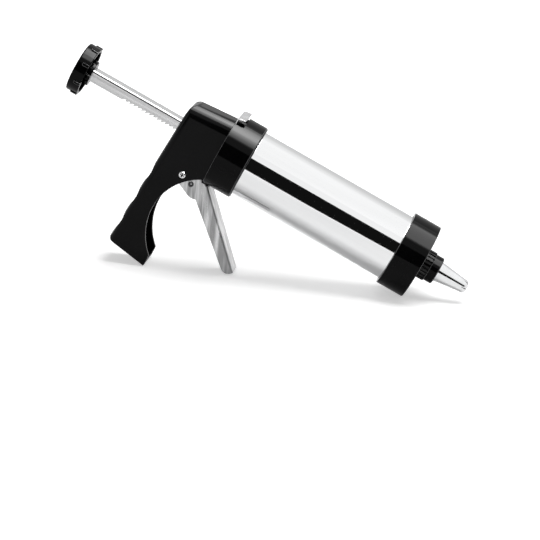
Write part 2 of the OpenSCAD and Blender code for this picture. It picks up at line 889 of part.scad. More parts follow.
module piston_disc() {
    middle = (piston_back + piston_front) / 2;
    groove_r = seal_r - seal_depth;
    sink = piston_head_h + seat_gap;
    color([0.86, 0.86, 0.84]) stance() difference() {
        turned() polygon([
            [0, piston_back],
            [piston_r, piston_back],
            [piston_r, middle - seal_w / 2],
            [groove_r, middle - seal_w / 2],
            [groove_r, middle + seal_w / 2],
            [piston_r, middle + seal_w / 2],
            [piston_r, piston_front],
            [0, piston_front]
        ]);
        axial_bar(piston_screw_r + pin_gap, piston_back - past, piston_front + past);
        axial_bar(piston_head_r + seat_gap, piston_front - sink, piston_front + past);
    }
}

module piston_seal() {
    middle = (piston_back + piston_front) / 2;
    width = seal_w - 2 * seat_gap;
    color([0.75, 0.75, 0.73]) stance() turned()
        translate([seal_r - seal_depth + seat_gap, middle - width / 2])
            square([seal_depth - seat_gap, width]);
}

module piston_screw() {
    seat = piston_front - piston_head_h;
    slot_w = 1;
    color([0.7, 0.7, 0.72]) stance() difference() {
        union() {
            axial_bar(piston_screw_r, piston_back - seat_gap - piston_screw_len + past, seat + past);
            axial_bar(piston_head_r, seat, piston_front);
        }
        along(piston_front - slot_w, piston_front + past) plate_2d(2 * piston_head_r, slot_w);
    }
}

// Side view of one cheek of the trigger: ears, lobe and tapering arm with a rounded end
module trigger_cheek_2d() {
    end_w = arm_front - arm_end_w;
    root_w = arm_front - arm_root_w;
    heel = [arm_reach - arm_end_round, end_w + arm_end_round];
    arm = concat(
        [[lobe.x, arm_front], [arm_reach, arm_front], [arm_reach, heel.y]],
        arc(heel, arm_end_round, 0, -90, 6),
        [[lobe.x + lobe_r, root_w], [lobe.x, root_w]]
    );
    link_2d(pivot, ear_r, pawl_at, pawl_ear_r);
    translate(pivot) rotate(-arm_angle) {
        link_2d([0, 0], ear_r, lobe, lobe_r);
        polygon(arm);
    }
}

module trigger() {
    hook = from_arm(hook_hole);
    color([0.66, 0.66, 0.67]) stance() difference() {
        union() {
            for (from = [-ear_half, ear_inner])
                across(from, from + trigger_sheet) trigger_cheek_2d();
            across(-ear_half, ear_half)
                translate(pivot) rotate(-arm_angle)
                    translate([lobe.x, arm_front - trigger_sheet])
                        square([arm_reach - lobe.x, trigger_sheet]);
        }
        axial_bar(collar_r + collar_clear, -collar_clear, 2 * collar_r);
        cross_bar(sleeve_r + run_gap, -trigger_w, trigger_w, pivot);
        cross_bar(pawl_pin_r + pin_gap, -trigger_w, trigger_w, pawl_at);
        cross_bar(hook_hole_r, -trigger_w, trigger_w, hook);
    }
}

module pivot_screw() {
    face = body_half - head_sink;
    top = face + pivot_head_h;
    cross_w = 0.8;
    color([0.85, 0.85, 0.86]) stance() difference() {
        union() {
            cross_bar(pivot_head_r, -top, -face, pivot);
            cross_bar(pivot_screw_r, -face - past / 2, ear_half / 4, pivot);
        }
        for (turn = [0, 90])
            translate([pivot.x, -top, pivot.y]) rotate([0, turn, 0])
                cube([pivot_head_r, cross_w * 1.6, cross_w], center = true);
    }
}

module pivot_sleeve() {
    face = body_half - head_sink;
    color([0.8, 0.8, 0.81]) stance() difference() {
        union() {
            cross_bar(pivot_head_r, face, face + pivot_head_h, pivot);
            cross_bar(sleeve_r, -face + seat_gap, face + past / 2, pivot);
        }
        cross_bar(pivot_screw_r + seat_gap, -body_w, ear_half / 2, pivot);
    }
}

// Return spring: hooked in the trigger's near ear, curled on the sleeve, braced on the grip's back wall
function return_route() =
    let (
        hook = from_arm(hook_hole),
        low = pivot.y - return_coil_r,
        bend = 1.2,
        wall = back_at(low) + body_wall + return_wire / 2,
        rings = 8 * return_curls
    )
    concat(
        [
            [hook.x, -ear_half - 0.6, hook.y],
            [hook.x, -return_half - bend, hook.y],
            [hook.x - bend * 0.3, -return_half - bend * 0.3, hook.y],
            [hook.x - bend, -return_half, (hook.y * 4 + low) / 5]
        ],
        [
            for (i = [0 : rings])
                let (a = -90 - 45 * i)
                [
                    pivot.x + return_coil_r * cos(a),
                    -return_half + return_pitch * i / 8,
                    pivot.y + return_coil_r * sin(a)
                ]
        ],
        [[wall, return_half, low]]
    );
module trigger_spring() {
    color([0.55, 0.55, 0.57]) stance() wire_along(return_route(), return_wire);
}
echo(return_spring_gap = least_gap(return_route(), return_wire, 6));

// Side view of the pawl: a hub on its pin and a finger up to the rod's teeth
module pawl_2d() {
    tip = [pawl_at.x + 3.8, pawl_top];
    neck = pawl_at + [0, 4];
    difference() {
        union() {
            translate(pawl_at) circle(r = pawl_hub_r);
            polygon([
                pawl_at + [-pawl_hub_r, 0],
                neck + [-2.6, 0],
                tip + [-2.4, -1.6],
                tip + [-0.5, 0],
                tip,
                tip + [0.3, -3],
                pawl_at + [pawl_hub_r, 0]
            ]);
        }
        translate(pawl_at) circle(r = pawl_pin_r + run_gap);
    }
}
module drive_pawl() {
    spring_side = pawl_at.y + pawl_hub_r + 0.6;
    color([0.5, 0.5, 0.52]) stance() {
        across(-pawl_half, pawl_hub_end) pawl_2d();
        across(pawl_hub_end - seat_gap, pawl_half)
            intersection() {
                pawl_2d();
                translate([pawl_at.x - rod_w, spring_side]) square([2 * rod_w, rod_w]);
            }
    }
}

module pawl_pin() {
    half = ear_half + 0.6;
    color([0.6, 0.6, 0.62]) stance() cross_bar(pawl_pin_r, -half, half, pawl_at);
}

// Pawl spring: one leg behind the pawl's finger, curls on the pin, one leg behind the pivot's sleeve
function pawl_route() =
    let (
        y0 = pawl_coil_y,
        y1 = pawl_coil_y + pawl_coil_pitch * pawl_curls,
        rings = 8 * pawl_curls,
        x = pawl_at.x - pawl_coil_r
    )
    concat(
        [[x - 1, y0, pawl_at.y + 4.6]],
        [
            for (i = [0 : rings])
                let (a = 180 + 45 * i)
                [
                    pawl_at.x + pawl_coil_r * cos(a),
                    y0 + (y1 - y0) * i / rings,
                    pawl_at.y + pawl_coil_r * sin(a)
                ]
        ],
        [[x, y1, pivot.y + sleeve_r + 0.5]]
    );
module pawl_spring() {
    color([0.55, 0.55, 0.57]) stance() wire_along(pawl_route(), pawl_wire);
}
echo(pawl_spring_gap = least_gap(pawl_route(), pawl_wire, 6));

// Release plate in cross-section, with the window that the rod runs through
module release_face_2d() {
    window_low = -rod_h / 2 - slide_gap;
    window_high = rod_h / 2 + press + slide_gap;
    difference() {
        translate([-stem_half, plate_low]) square([2 * stem_half, head_low + past - plate_low]);
        translate([-rod_slot_w / 2, window_low]) square([rod_slot_w, window_high - window_low]);
    }
}
module release_head_2d() {
    tab_end = plate_back + tab_len;
    rise = (tab_end - plate_back) * tan(tab_slope);
    polygon([
        [plate_back, head_low],
        [plate_back, tab_base],
        [tab_end, tab_base + rise],
        [tab_end, tab_base + rise - plate_t],
        [plate_front, tab_base - plate_t],
        [plate_front, head_low]
    ]);
}

// Plan of the tab, with its two front corners rounded
module tab_plan_2d() {
    round = 2;
    end = plate_back + tab_len;
    translate([-past, -tab_half]) square([end - round + past, tab_w]);
    translate([-past, -tab_half + round]) square([end + past, tab_w - 2 * round]);
    for (side = [-1, 1]) translate([end - round, side * (tab_half - round)]) circle(r = round);
}
module release_plate() {
    color([0.8, 0.8, 0.82]) stance() {
        along(plate_back, plate_front) release_face_2d();
        intersection() {
            across(-tab_half, tab_half) release_head_2d();
            linear_extrude(2 * collar_r) tab_plan_2d();
        }
        across(-foot_half, foot_half)
            translate([-foot_reach, plate_low]) square([foot_reach + plate_front, plate_t]);
    }
}

// Release spring: stands on the collar's shelf and lifts the plate's foot
function release_route() =
    let (
        low = shelf_top + release_wire / 2 + seat_gap,
        high = plate_low - release_wire / 2 - seat_gap,
        rings = 8 * release_curls
    )
    [
        for (i = [0 : rings])
            [
                release_coil_at + release_coil_r * cos(45 * i),
                release_coil_r * sin(45 * i),
                low + (high - low) * i / rings
            ]
    ];
module release_spring() {
    color([0.55, 0.55, 0.57]) stance() wire_along(release_route(), release_wire);
}
echo(release_spring_gap = least_gap(release_route(), release_wire, 6));

handle_body();
barrel_collar();
collar_screws();
barrel_tube();
front_cap();
nozzle_adapter();
nozzle_nut();
piping_tip();
plunger_rod();
plunger_knob();
knob_pin();
piston_hub();
piston_pin();
piston_disc();
piston_seal();
piston_screw();
trigger();
pivot_screw();
pivot_sleeve();
trigger_spring();
drive_pawl();
pawl_pin();
pawl_spring();
release_plate();
release_spring();
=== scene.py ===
import json
from math import atan2, cos, pi, radians, sin

import bmesh
import bpy
from bpy.props import FloatProperty, FloatVectorProperty, IntProperty, PointerProperty
from mathutils import Matrix, Vector
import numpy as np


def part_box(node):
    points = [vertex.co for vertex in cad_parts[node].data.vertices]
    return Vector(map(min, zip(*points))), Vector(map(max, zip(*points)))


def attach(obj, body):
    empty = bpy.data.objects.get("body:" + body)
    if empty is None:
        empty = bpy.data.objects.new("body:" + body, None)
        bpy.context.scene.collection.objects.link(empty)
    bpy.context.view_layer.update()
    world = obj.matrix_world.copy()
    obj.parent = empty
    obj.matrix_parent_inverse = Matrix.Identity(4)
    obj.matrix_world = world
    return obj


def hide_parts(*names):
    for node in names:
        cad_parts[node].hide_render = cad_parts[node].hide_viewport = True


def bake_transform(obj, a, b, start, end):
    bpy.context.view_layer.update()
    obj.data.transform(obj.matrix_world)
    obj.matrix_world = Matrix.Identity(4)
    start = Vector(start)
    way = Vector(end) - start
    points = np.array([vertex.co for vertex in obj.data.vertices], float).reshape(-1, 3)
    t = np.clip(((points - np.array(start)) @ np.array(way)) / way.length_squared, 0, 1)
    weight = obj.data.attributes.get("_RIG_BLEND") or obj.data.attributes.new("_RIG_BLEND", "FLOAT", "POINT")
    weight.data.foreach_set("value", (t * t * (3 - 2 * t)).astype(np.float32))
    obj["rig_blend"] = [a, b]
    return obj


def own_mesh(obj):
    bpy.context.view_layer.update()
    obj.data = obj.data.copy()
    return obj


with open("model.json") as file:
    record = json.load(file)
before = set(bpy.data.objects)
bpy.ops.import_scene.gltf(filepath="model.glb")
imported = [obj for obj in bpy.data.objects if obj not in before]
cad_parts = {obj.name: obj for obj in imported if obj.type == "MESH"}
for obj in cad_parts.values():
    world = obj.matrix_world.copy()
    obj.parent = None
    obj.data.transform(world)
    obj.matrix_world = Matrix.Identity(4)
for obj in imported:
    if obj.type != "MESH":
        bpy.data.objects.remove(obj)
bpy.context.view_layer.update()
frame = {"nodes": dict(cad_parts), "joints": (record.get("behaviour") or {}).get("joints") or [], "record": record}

bl_info = {
    "name": "Pastry Press",
    "version": (1, 0, 0),
    "blender": (4, 5, 0),
    "location": "View3D > Sidebar > Press",
    "description": "Dresses a pistol-grip pastry press with detailed pieces and finishes",
    "category": "Add Mesh",
}

MM = 0.001
FULL_TURN = 2 * pi

# The gun's own frame: along the barrel, across, and up from the barrel axis, in millimetres
JOINTS = {j["name"]: j for j in frame["joints"]}
CAP_FRONT = 164.85
AXIS = Vector(JOINTS["plunger_slide"]["axis"]).normalized()
ACROSS = Vector((0.0, 1.0, 0.0))
UP = AXIS.cross(ACROSS)
ORIGIN = Vector(JOINTS["cap_turn"]["pos_m"]) - AXIS * CAP_FRONT * MM
TILT = atan2(-AXIS.z, AXIS.x)

# The trigger's frame: down its arm and forward of it, from the pivot
PIVOT = Vector(JOINTS["trigger_squeeze"]["pos_m"])
PAWL = Vector(JOINTS["pawl_swing"]["pos_m"])
ARM_ANGLE = radians(45.4)
ARM = AXIS * cos(ARM_ANGLE) - UP * sin(ARM_ANGLE)
ARM_FRONT = AXIS * sin(ARM_ANGLE) + UP * cos(ARM_ANGLE)
HOOK = PIVOT + (ARM * 8.67 + ARM_FRONT * 3.24) * MM

# Steps around the round pieces
BARREL_STEPS = 192
RING_STEPS = 160
KNOB_STEPS = 144
ADAPTER_STEPS = 128
TIP_STEPS = 96
SCREW_STEPS = 64
COIL_STEPS = 24
WIRE_SIDES = 12
RIB_STEPS = 6

# Widths of rounded edges and bends, in metres
OUTER_BEND = 0.0014
INNER_BEND = 0.0006
RIM_EDGE = 0.0004
SMALL_MOULDED_EDGE = 0.0003
STEEL_EDGE = 0.0002
SHEET_EDGE = 0.00018
PLATE_EDGE = 0.00015
FINE_EDGE = 0.00012
SLEEVE_EDGE = 0.0001

# Distances that count as none, in metres, on new shapes and on CAD or cut ones
WELD = 1e-6
CAD_WELD = 2e-6
FLAT = radians(0.4)

# How near a place, in millimetres, and a direction, as a cosine, have to be to match
CLOSE = 0.05
PARALLEL = 0.99

# Face attribute of painted light and wear that the finishes read. Its ends are a rounded edge made lighter, as
# rubbed wear and a painted highlight, and painted shade in recesses. Then come the shares of single forms: painted
# highlights on the nut's ribs and the trigger's front, and painted shade along the rod's and the trigger's folds
PAINTED_LIGHT_AND_WEAR = "wear"
RUBBED_AND_HIGHLIT = 1.0
PAINTED_SHADE = -1.0
RIB_HIGHLIGHT = 0.3
ROD_FOLD_SHADE = -0.7
TRIGGER_FRONT_HIGHLIGHT = 0.45
TRIGGER_FOLD_SHADE = -0.35

# Spans of a noise pattern that roughness and colour follow
ROUGH_SPAN = (0.3, 0.7)
TONE_SPAN = (0.35, 0.65)

# Camera of the main view: places in metres, roll in radians, picture and focal length in pixels
PHOTO_SIDE = 540
FOCAL_PIXELS = 2127.4
SENSOR = 36.0
EYE = Vector((0.17436, -1.481, 0.42099))
AIM = Vector((0.0077, -0.00072, 0.00556))
ROLL = 0.09925
VIEW_END = 50.0

# Floor: half its side, its level, the reach over which it turns white, and what mirrors see of it
FLOOR_HALF = 12.0
FLOOR_LEVEL = -0.0004
FLOOR_FADE = (0.15, 0.5)
FLOOR_MIRRORED = 0.4

# Softbox lamp: place in the gun's frame, and sides in metres
LAMP_PLACE = (-160, 150, 1200)
LAMP_SIDES = (0.7, 0.83)

# Hot card: height and middle, strengths, reach in metres, and how its near and far sides fade
HOT_HEIGHT = 1190
HOT_MIDDLE = (-70, -150, HOT_HEIGHT)
HOT_STRENGTHS = (40.0, 12.0)
HOT_REACH = 0.25
HOT_SQUASH = (1.0, 0.45, 1.0)
HOT_SIDES = ((-0.92, -0.62, 1.0), (0.75, 0.24, 4.0))
HOT_LEAST = 0.07

# Strengths of the plain cards, and the heights between which the pale one brightens
DARK_CARD = 0.006
STEEL_CARD = 1.08
PALE_RISE = (0.15, 1.2)

FINISHES = {}


class PressSizes(bpy.types.PropertyGroup):
    """Sizes of the round pieces and the softness of edges"""

    barrel_radius: FloatProperty(
        name="Barrel radius", description="Outer radius of the steel barrel",
        default=0.025, min=0.02, max=0.03, unit="LENGTH")
    barrel_wall: FloatProperty(
        name="Barrel wall", description="Thickness of the barrel's sheet",
        default=0.0006, min=0.0004, max=0.0012, unit="LENGTH")
    cap_radius: FloatProperty(
        name="Cap radius", description="Outer radius of the front cap",
        default=0.0285, min=0.026, max=0.034, unit="LENGTH")
    cap_edge: FloatProperty(
        name="Cap edge", description="Rounding of the front cap's edges",
        default=0.0004, min=0.0002, max=0.0015, unit="LENGTH")
    collar_edge: FloatProperty(
        name="Collar edge", description="Rounding of the collar's edges",
        default=0.0003, min=0.0001, max=0.001, unit="LENGTH")
    moulded_edge: FloatProperty(
        name="Moulded edge", description="Rounding of the handle's edges",
        default=0.0006, min=0.0001, max=0.001, unit="LENGTH")
    fold_radius: FloatProperty(
        name="Fold radius", description="Outer radius of the trigger's two folds",
        default=0.0017, min=0.0012, max=0.003, unit="LENGTH")
    nut_ribs: IntProperty(
        name="Nut ribs", description="Number of ribs around the nozzle nut",
        default=24, min=12, max=30)
    knob_lugs: IntProperty(
        name="Knob lugs", description="Number of lugs around the knob's rim",
        default=8, min=6, max=12)


class PressColours(bpy.types.PropertyGroup):
    """Colours of the finishes"""

    satin_black: FloatVectorProperty(
        name="Handle", description="Colour of the satin handle plastic",
        default=(0.0032, 0.0032, 0.0035), min=0.0, max=1.0, subtype="COLOR")
    gloss_black: FloatVectorProperty(
        name="Gloss plastic", description="Colour of the collar, cap, nut and knob",
        default=(0.002, 0.002, 0.0022), min=0.0, max=1.0, subtype="COLOR")
    bright_steel: FloatVectorProperty(
        name="Polished steel", description="Colour of the barrel and the tip",
        default=(0.86, 0.865, 0.87), min=0.0, max=1.0, subtype="COLOR")
    rod_steel: FloatVectorProperty(
        name="Rod steel", description="Colour of the plunger rod",
        default=(0.72, 0.72, 0.725), min=0.0, max=1.0, subtype="COLOR")
    trigger_steel: FloatVectorProperty(
        name="Trigger steel", description="Colour of the trigger's sheet",
        default=(0.52, 0.52, 0.525), min=0.0, max=1.0, subtype="COLOR")


class PressStage(bpy.types.PropertyGroup):
    """Light and floor of the studio"""

    softbox_power: FloatProperty(
        name="Softbox power", description="Power of the overhead softbox",
        default=14.0, min=1.0, max=60.0, unit="POWER")
    fill: FloatProperty(
        name="Fill", description="Strength of the soft light from all round",
        default=0.25, min=0.0, max=1.0)
    floor_grey: FloatProperty(
        name="Floor", description="Paleness of the floor",
        default=0.78, min=0.1, max=0.95)
    floor_glow: FloatProperty(
        name="Floor glow", description="Whiteness that the floor shows by itself near the press",
        default=0.5, min=0.0, max=1.0)
    rear_grey: FloatProperty(
        name="Rear grey", description="Paleness of the low backdrop that the steel mirrors",
        default=0.66, min=0.0, max=1.0)


def off(centre, along, across=0.0, up=0.0):
    """Place, in metres, at distances from a centre along the gun's axes, in millimetres."""
    return centre + (AXIS * along + ACROSS * across + UP * up) * MM


def at(along, across=0.0, up=0.0):
    """Place, in metres, of a place in the gun's frame, in millimetres."""
    return off(ORIGIN, along, across, up)


def facing(*axes):
    """Rotation that lays X, Y and Z along three axes."""
    return Matrix(axes).transposed().to_4x4()


def along_of(co):
    """How far along the barrel a point lies, in millimetres."""
    return (co - ORIGIN).dot(AXIS) / MM


def radius_of(co):
    """How far from the barrel axis a point lies, in millimetres."""
    return (co - ORIGIN).cross(AXIS).length / MM


def column(co, steps):
    """Number of the spin step that a point of a round shape lies on."""
    out = co - ORIGIN
    turn = atan2(out.dot(ACROSS), out.dot(UP))
    return round(turn / FULL_TURN * steps) % steps


def runs(way, centre, *places):
    """Test for edges that run one way, at distances to either side of a centre."""
    def test(edge):
        a, b = (v.co for v in edge.verts)
        middle = (a + b) / 2 - centre
        return abs((a - b).normalized().dot(way)) > PARALLEL and all(
            abs(abs(middle.dot(side)) / MM - place) < CLOSE for side, place in places)

    return test


def sharp_edges(bm, angle, pick=None):
    """Edges whose two faces meet at more than an angle, in degrees."""
    return [
        e for e in bm.edges
        if len(e.link_faces) == 2
        and e.calc_face_angle(0.0) > radians(angle)
        and (pick is None or pick(e))
    ]


def light_and_wear_layer(bm):
    """Face layer that says how a face is painted, from painted shade in a recess to a lighter rounded edge, worn
    and with a painted highlight.
    """
    layers = bm.faces.layers.float
    return layers.get(PAINTED_LIGHT_AND_WEAR) or layers.new(PAINTED_LIGHT_AND_WEAR)


def mark(bm, wear, test=None):
    """Sets the painted light, painted shade and wear value of all faces, or of those that pass a test."""
    layer = light_and_wear_layer(bm)
    for face in bm.faces:
        if test is None or test(face):
            face[layer] = wear


def round_edges(bm, width, segments=2, angle=28, pick=None):
    """Rounds sharp edges with a bevel, and marks them lighter, as rubbed wear and a painted highlight."""
    layer = light_and_wear_layer(bm)
    edges = sharp_edges(bm, angle, pick)
    if edges:
        made = bmesh.ops.bevel(
            bm, geom=edges, offset=width, offset_type="OFFSET", segments=segments,
            profile=0.5, affect="EDGES", clamp_overlap=False, material=-1)
        for face in made["faces"]:
            face[layer] = RUBBED_AND_HIGHLIT
        bmesh.ops.dissolve_degenerate(bm, dist=WELD, edges=bm.edges)


def turned(profile, steps, closed=True, centre=ORIGIN, axis=AXIS, out=UP):
    """Spins a profile of places along an axis and radii, in millimetres, into a round shape."""
    bm = bmesh.new()
    ring = [bm.verts.new(centre + (axis * a + out * r) * MM) for a, r in profile]
    pairs = list(zip(ring, ring[1:]))
    if closed:
        pairs.append((ring[-1], ring[0]))
    edges = [bm.edges.new(pair) for pair in pairs]
    bmesh.ops.spin(
        bm, geom=ring + edges, cent=centre, axis=axis, dvec=(0, 0, 0),
        angle=FULL_TURN, steps=steps, use_merge=True)
    bmesh.ops.remove_doubles(bm, verts=bm.verts, dist=WELD)
    bmesh.ops.recalc_face_normals(bm, faces=bm.faces)
    return bm


def groove(bm, steps, every, wide, depth, span, radius):
    """Sinks columns of a round wall into grooves, and marks their floors with painted shade."""
    layer = light_and_wear_layer(bm)
    low, high = span
    for vert in bm.verts:
        if column(vert.co, steps) % every >= wide:
            continue
        if not low <= along_of(vert.co) <= high or abs(radius_of(vert.co) - radius) > CLOSE:
            continue
        axis_point = ORIGIN + AXIS * along_of(vert.co) * MM
        vert.co += (axis_point - vert.co).normalized() * depth * MM
        for face in vert.link_faces:
            face[layer] = PAINTED_SHADE


def softened(node, width, segments=2, angle=28, pick=None):
    """Copy of a CAD node with its flat faces joined and its sharp edges rounded."""
    bm = bmesh.new()
    bm.from_mesh(frame["nodes"][node].data)
    bmesh.ops.remove_doubles(bm, verts=bm.verts, dist=CAD_WELD)
    bmesh.ops.dissolve_limit(bm, angle_limit=FLAT, verts=bm.verts, edges=bm.edges)
    if width:
        round_edges(bm, width, segments, angle, pick)
    return bm


def cuboid(centre, axes, sides):
    """Box about a centre, with sides along three axes, in millimetres."""
    bm = bmesh.new()
    size = Matrix.Diagonal((*(side * MM for side in sides), 1.0))
    place = Matrix.Translation(centre) @ facing(*axes) @ size
    bmesh.ops.create_cube(bm, size=1.0, matrix=place)
    bmesh.ops.recalc_face_normals(bm, faces=bm.faces)
    return bm


def block(low, high):
    """Box between two corners in the gun's frame, in millimetres."""
    mid = [(a + b) / 2 for a, b in zip(low, high)]
    return cuboid(at(*mid), (AXIS, ACROSS, UP), [b - a for a, b in zip(low, high)])


def prism(corners, draw):
    """Flat outline, drawn out along a vector."""
    bm = bmesh.new()
    bm.faces.new([bm.verts.new(corner) for corner in corners])
    grown = bmesh.ops.extrude_face_region(bm, geom=bm.faces[:])
    raised = [g for g in grown["geom"] if isinstance(g, bmesh.types.BMVert)]
    bmesh.ops.translate(bm, verts=raised, vec=draw)
    bmesh.ops.recalc_face_normals(bm, faces=bm.faces)
    return bm


def set_around(bm, count):
    """Copies a shape to even places around the barrel axis, the first half a step round."""
    turn = Matrix.Rotation(pi / count, 3, AXIS)
    bmesh.ops.rotate(bm, verts=bm.verts, cent=ORIGIN, matrix=turn)
    bmesh.ops.spin(
        bm, geom=bm.verts[:] + bm.edges[:] + bm.faces[:], cent=ORIGIN, axis=AXIS, dvec=(0, 0, 0),
        angle=FULL_TURN * (count - 1) / count, steps=count - 1, use_duplicate=True)
    bmesh.ops.recalc_face_normals(bm, faces=bm.faces)


def joined(*parts):
    """One bmesh that holds several, which are freed."""
    whole = bmesh.new()
    for part in parts:
        mesh = bpy.data.meshes.new("part")
        part.to_mesh(mesh)
        part.free()
        whole.from_mesh(mesh)
        bpy.data.meshes.remove(mesh)
    return whole


def cut(bm, tool):
    """The first shape less the second."""
    pair = []
    for source in (bm, tool):
        mesh = bpy.data.meshes.new("cut")
        source.to_mesh(mesh)
        source.free()
        obj = bpy.data.objects.new("cut", mesh)
        bpy.context.scene.collection.objects.link(obj)
        pair.append(obj)
    keep, knife = pair
    modifier = keep.modifiers.new("Cut", "BOOLEAN")
    modifier.operation = "DIFFERENCE"
    modifier.solver = "EXACT"
    modifier.object = knife
    bpy.context.view_layer.update()
    graph = bpy.context.evaluated_depsgraph_get()
    shaped = bpy.data.meshes.new_from_object(keep.evaluated_get(graph))
    result = bmesh.new()
    result.from_mesh(shaped)
    bmesh.ops.dissolve_degenerate(result, dist=CAD_WELD, edges=result.edges)
    bpy.data.meshes.remove(shaped)
    for obj in pair:
        mesh = obj.data
        bpy.data.objects.remove(obj)
        bpy.data.meshes.remove(mesh)
    return result


def coil(centre, axes, radius, first, turn, turns, start, pitch):
    """Places of a coil that turns between two axes and climbs along a third, in millimetres."""
    side, top, rise = axes
    route = []
    for k in range(turns * COIL_STEPS + 1):
        angle = first + turn * FULL_TURN * k / COIL_STEPS
        route.append(centre + (
            side * (radius * cos(angle)) + top * (radius * sin(angle))
            + rise * (start + pitch * k / COIL_STEPS)) * MM)
    return route


def wire(route, diameter):
    """Round wire along a route, drawn out from a circle at its start."""
    bm = bmesh.new()
    heading = (route[1] - route[0]).normalized()
    turn = heading.to_track_quat("Z", "Y").to_matrix().to_4x4()
    made = bmesh.ops.create_circle(
        bm, cap_ends=True, radius=diameter / 2, segments=WIRE_SIDES,
        matrix=Matrix.Translation(route[0]) @ turn)
    face = made["verts"][0].link_faces[0]
    last = len(route) - 1
    for i in range(1, len(route)):
        following = (route[min(i + 1, last)] - route[i - 1]).normalized()
        grown = bmesh.ops.extrude_discrete_faces(bm, faces=[face])
        face = grown["faces"][0]
        bmesh.ops.translate(bm, verts=face.verts, vec=route[i] - route[i - 1])
        twist = heading.rotation_difference(following).to_matrix()
        bmesh.ops.rotate(bm, verts=face.verts, cent=route[i], matrix=twist)
        heading = following
    bmesh.ops.holes_fill(bm, edges=[e for e in bm.edges if e.is_boundary], sides=WIRE_SIDES)
    bmesh.ops.recalc_face_normals(bm, faces=bm.faces)
    return bm


def piece(context, name, bm, body, slot, nodes, smooth=32, twist=None):
    """Finished piece that stands for CAD nodes, and rides on a body or twists between two."""
    mesh = bpy.data.meshes.new(name)
    bm.to_mesh(mesh)
    bm.free()
    if "custom_normal" in mesh.attributes:
        mesh.attributes.remove(mesh.attributes["custom_normal"])
    mesh.materials.append(FINISHES[slot])
    mesh.polygons.foreach_set("material_index", [0] * len(mesh.polygons))
    mesh.polygons.foreach_set("use_smooth", [True] * len(mesh.polygons))
    mesh.set_sharp_from_angle(angle=radians(smooth))
    obj = bpy.data.objects.new(name, mesh)
    context.scene.collection.objects.link(obj)
    even = obj.modifiers.new("Even shading", "WEIGHTED_NORMAL")
    even.keep_sharp = True
    if twist:
        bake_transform(obj, *body, *twist)
    else:
        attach(obj, body)
    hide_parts(*nodes)
    return obj


def dress(node, material):
    """Gives a CAD node that stays a finish of its own."""
    mesh = frame["nodes"][node].data
    mesh.materials.clear()
    mesh.materials.append(material)


def mapped(tree, value, start, end, low=0.0, high=1.0):
    """Node that takes a value from one span to another."""
    node = tree.nodes.new("ShaderNodeMapRange")
    names = ("From Min", "From Max", "To Min", "To Max")
    for name, number in zip(names, (start, end, low, high)):
        node.inputs[name].default_value = number
    tree.links.new(value, node.inputs["Value"])
    return node


class Finish:
    """Node material of a slot, with patterns on object coordinates turned to the barrel axis."""

    def __init__(self, slot, name, colour, metallic, roughness):
        self.material = bpy.data.materials.new(name)
        self.material.use_nodes = True
        self.tree = self.material.node_tree
        self.shader = next(n for n in self.tree.nodes if n.type == "BSDF_PRINCIPLED")
        self.shader.inputs["Base Color"].default_value = (*colour, 1.0)
        self.shader.inputs["Metallic"].default_value = metallic
        self.shader.inputs["Roughness"].default_value = roughness
        self.coordinates = self.tree.nodes.new("ShaderNodeTexCoord")
        self.material.diffuse_color = (*colour, 1.0)
        FINISHES[slot] = self.material

    def link(self, a, b):
        self.tree.links.new(a, b)

    def gloss(self, level):
        """Strength of the mirror on plastic."""
        self.shader.inputs["Specular IOR Level"].default_value = level

    def noise(self, scale, stretch=(1.0, 1.0, 1.0), turn=0.0, detail=4.0):
        """Noise pattern of a scale, drawn out along the turned axes."""
        mapping = self.tree.nodes.new("ShaderNodeMapping")
        mapping.inputs["Rotation"].default_value = (0.0, -TILT - turn, 0.0)
        self.link(self.coordinates.outputs["Object"], mapping.inputs["Vector"])
        spread = self.tree.nodes.new("ShaderNodeMapping")
        spread.inputs["Scale"].default_value = stretch
        self.link(mapping.outputs["Vector"], spread.inputs["Vector"])
        node = self.tree.nodes.new("ShaderNodeTexNoise")
        node.inputs["Scale"].default_value = scale
        node.inputs["Detail"].default_value = detail
        self.link(spread.outputs["Vector"], node.inputs["Vector"])
        return node.outputs["Fac"]

    def roughness(self, value, low, high):
        """Roughness that follows a pattern between two values."""
        node = mapped(self.tree, value, *ROUGH_SPAN, low, high)
        self.link(node.outputs["Result"], self.shader.inputs["Roughness"])

    def colour(self, value, dark, light, span=TONE_SPAN):
        """Base colour that follows a pattern between two tones."""
        node = self.tree.nodes.new("ShaderNodeValToRGB")
        for end, position, tone in zip(node.color_ramp.elements, span, (dark, light)):
            end.position, end.color = position, (*tone, 1.0)
        self.link(value, node.inputs["Fac"])
        self.link(node.outputs["Color"], self.shader.inputs["Base Color"])

    def edge_highlight_and_recess_shade(self, edge, shade_tone):
        """Mixes the base colour towards one colour on rounded edges, for rubbed wear and a painted highlight, and
        towards another, a painted shade, in recesses and other shaded faces.
        """
        base = self.shader.inputs["Base Color"]
        attribute = self.tree.nodes.new("ShaderNodeAttribute")
        attribute.attribute_name = PAINTED_LIGHT_AND_WEAR
        colour = base.links[0].from_socket
        for end, tone in ((RUBBED_AND_HIGHLIT, edge), (PAINTED_SHADE, shade_tone)):
            share = mapped(self.tree, attribute.outputs["Fac"], 0.0, end)
            mix = self.tree.nodes.new("ShaderNodeMix")
            mix.data_type = "RGBA"
            mix.inputs["B"].default_value = (*tone, 1.0)
            self.link(share.outputs["Result"], mix.inputs["Factor"])
            self.link(colour, mix.inputs["A"])
            colour = mix.outputs["Result"]
        self.link(colour, base)

    def bump(self, value, distance, strength):
        """Fine relief that follows a pattern, of a height in metres."""
        node = self.tree.nodes.new("ShaderNodeBump")
        node.inputs["Distance"].default_value = distance
        node.inputs["Strength"].default_value = strength
        self.link(value, node.inputs["Height"])
        self.link(node.outputs["Normal"], self.shader.inputs["Normal"])


def shade(colour, share):
    """A colour made darker or lighter."""
    return tuple(min(1.0, c * share) for c in colour)


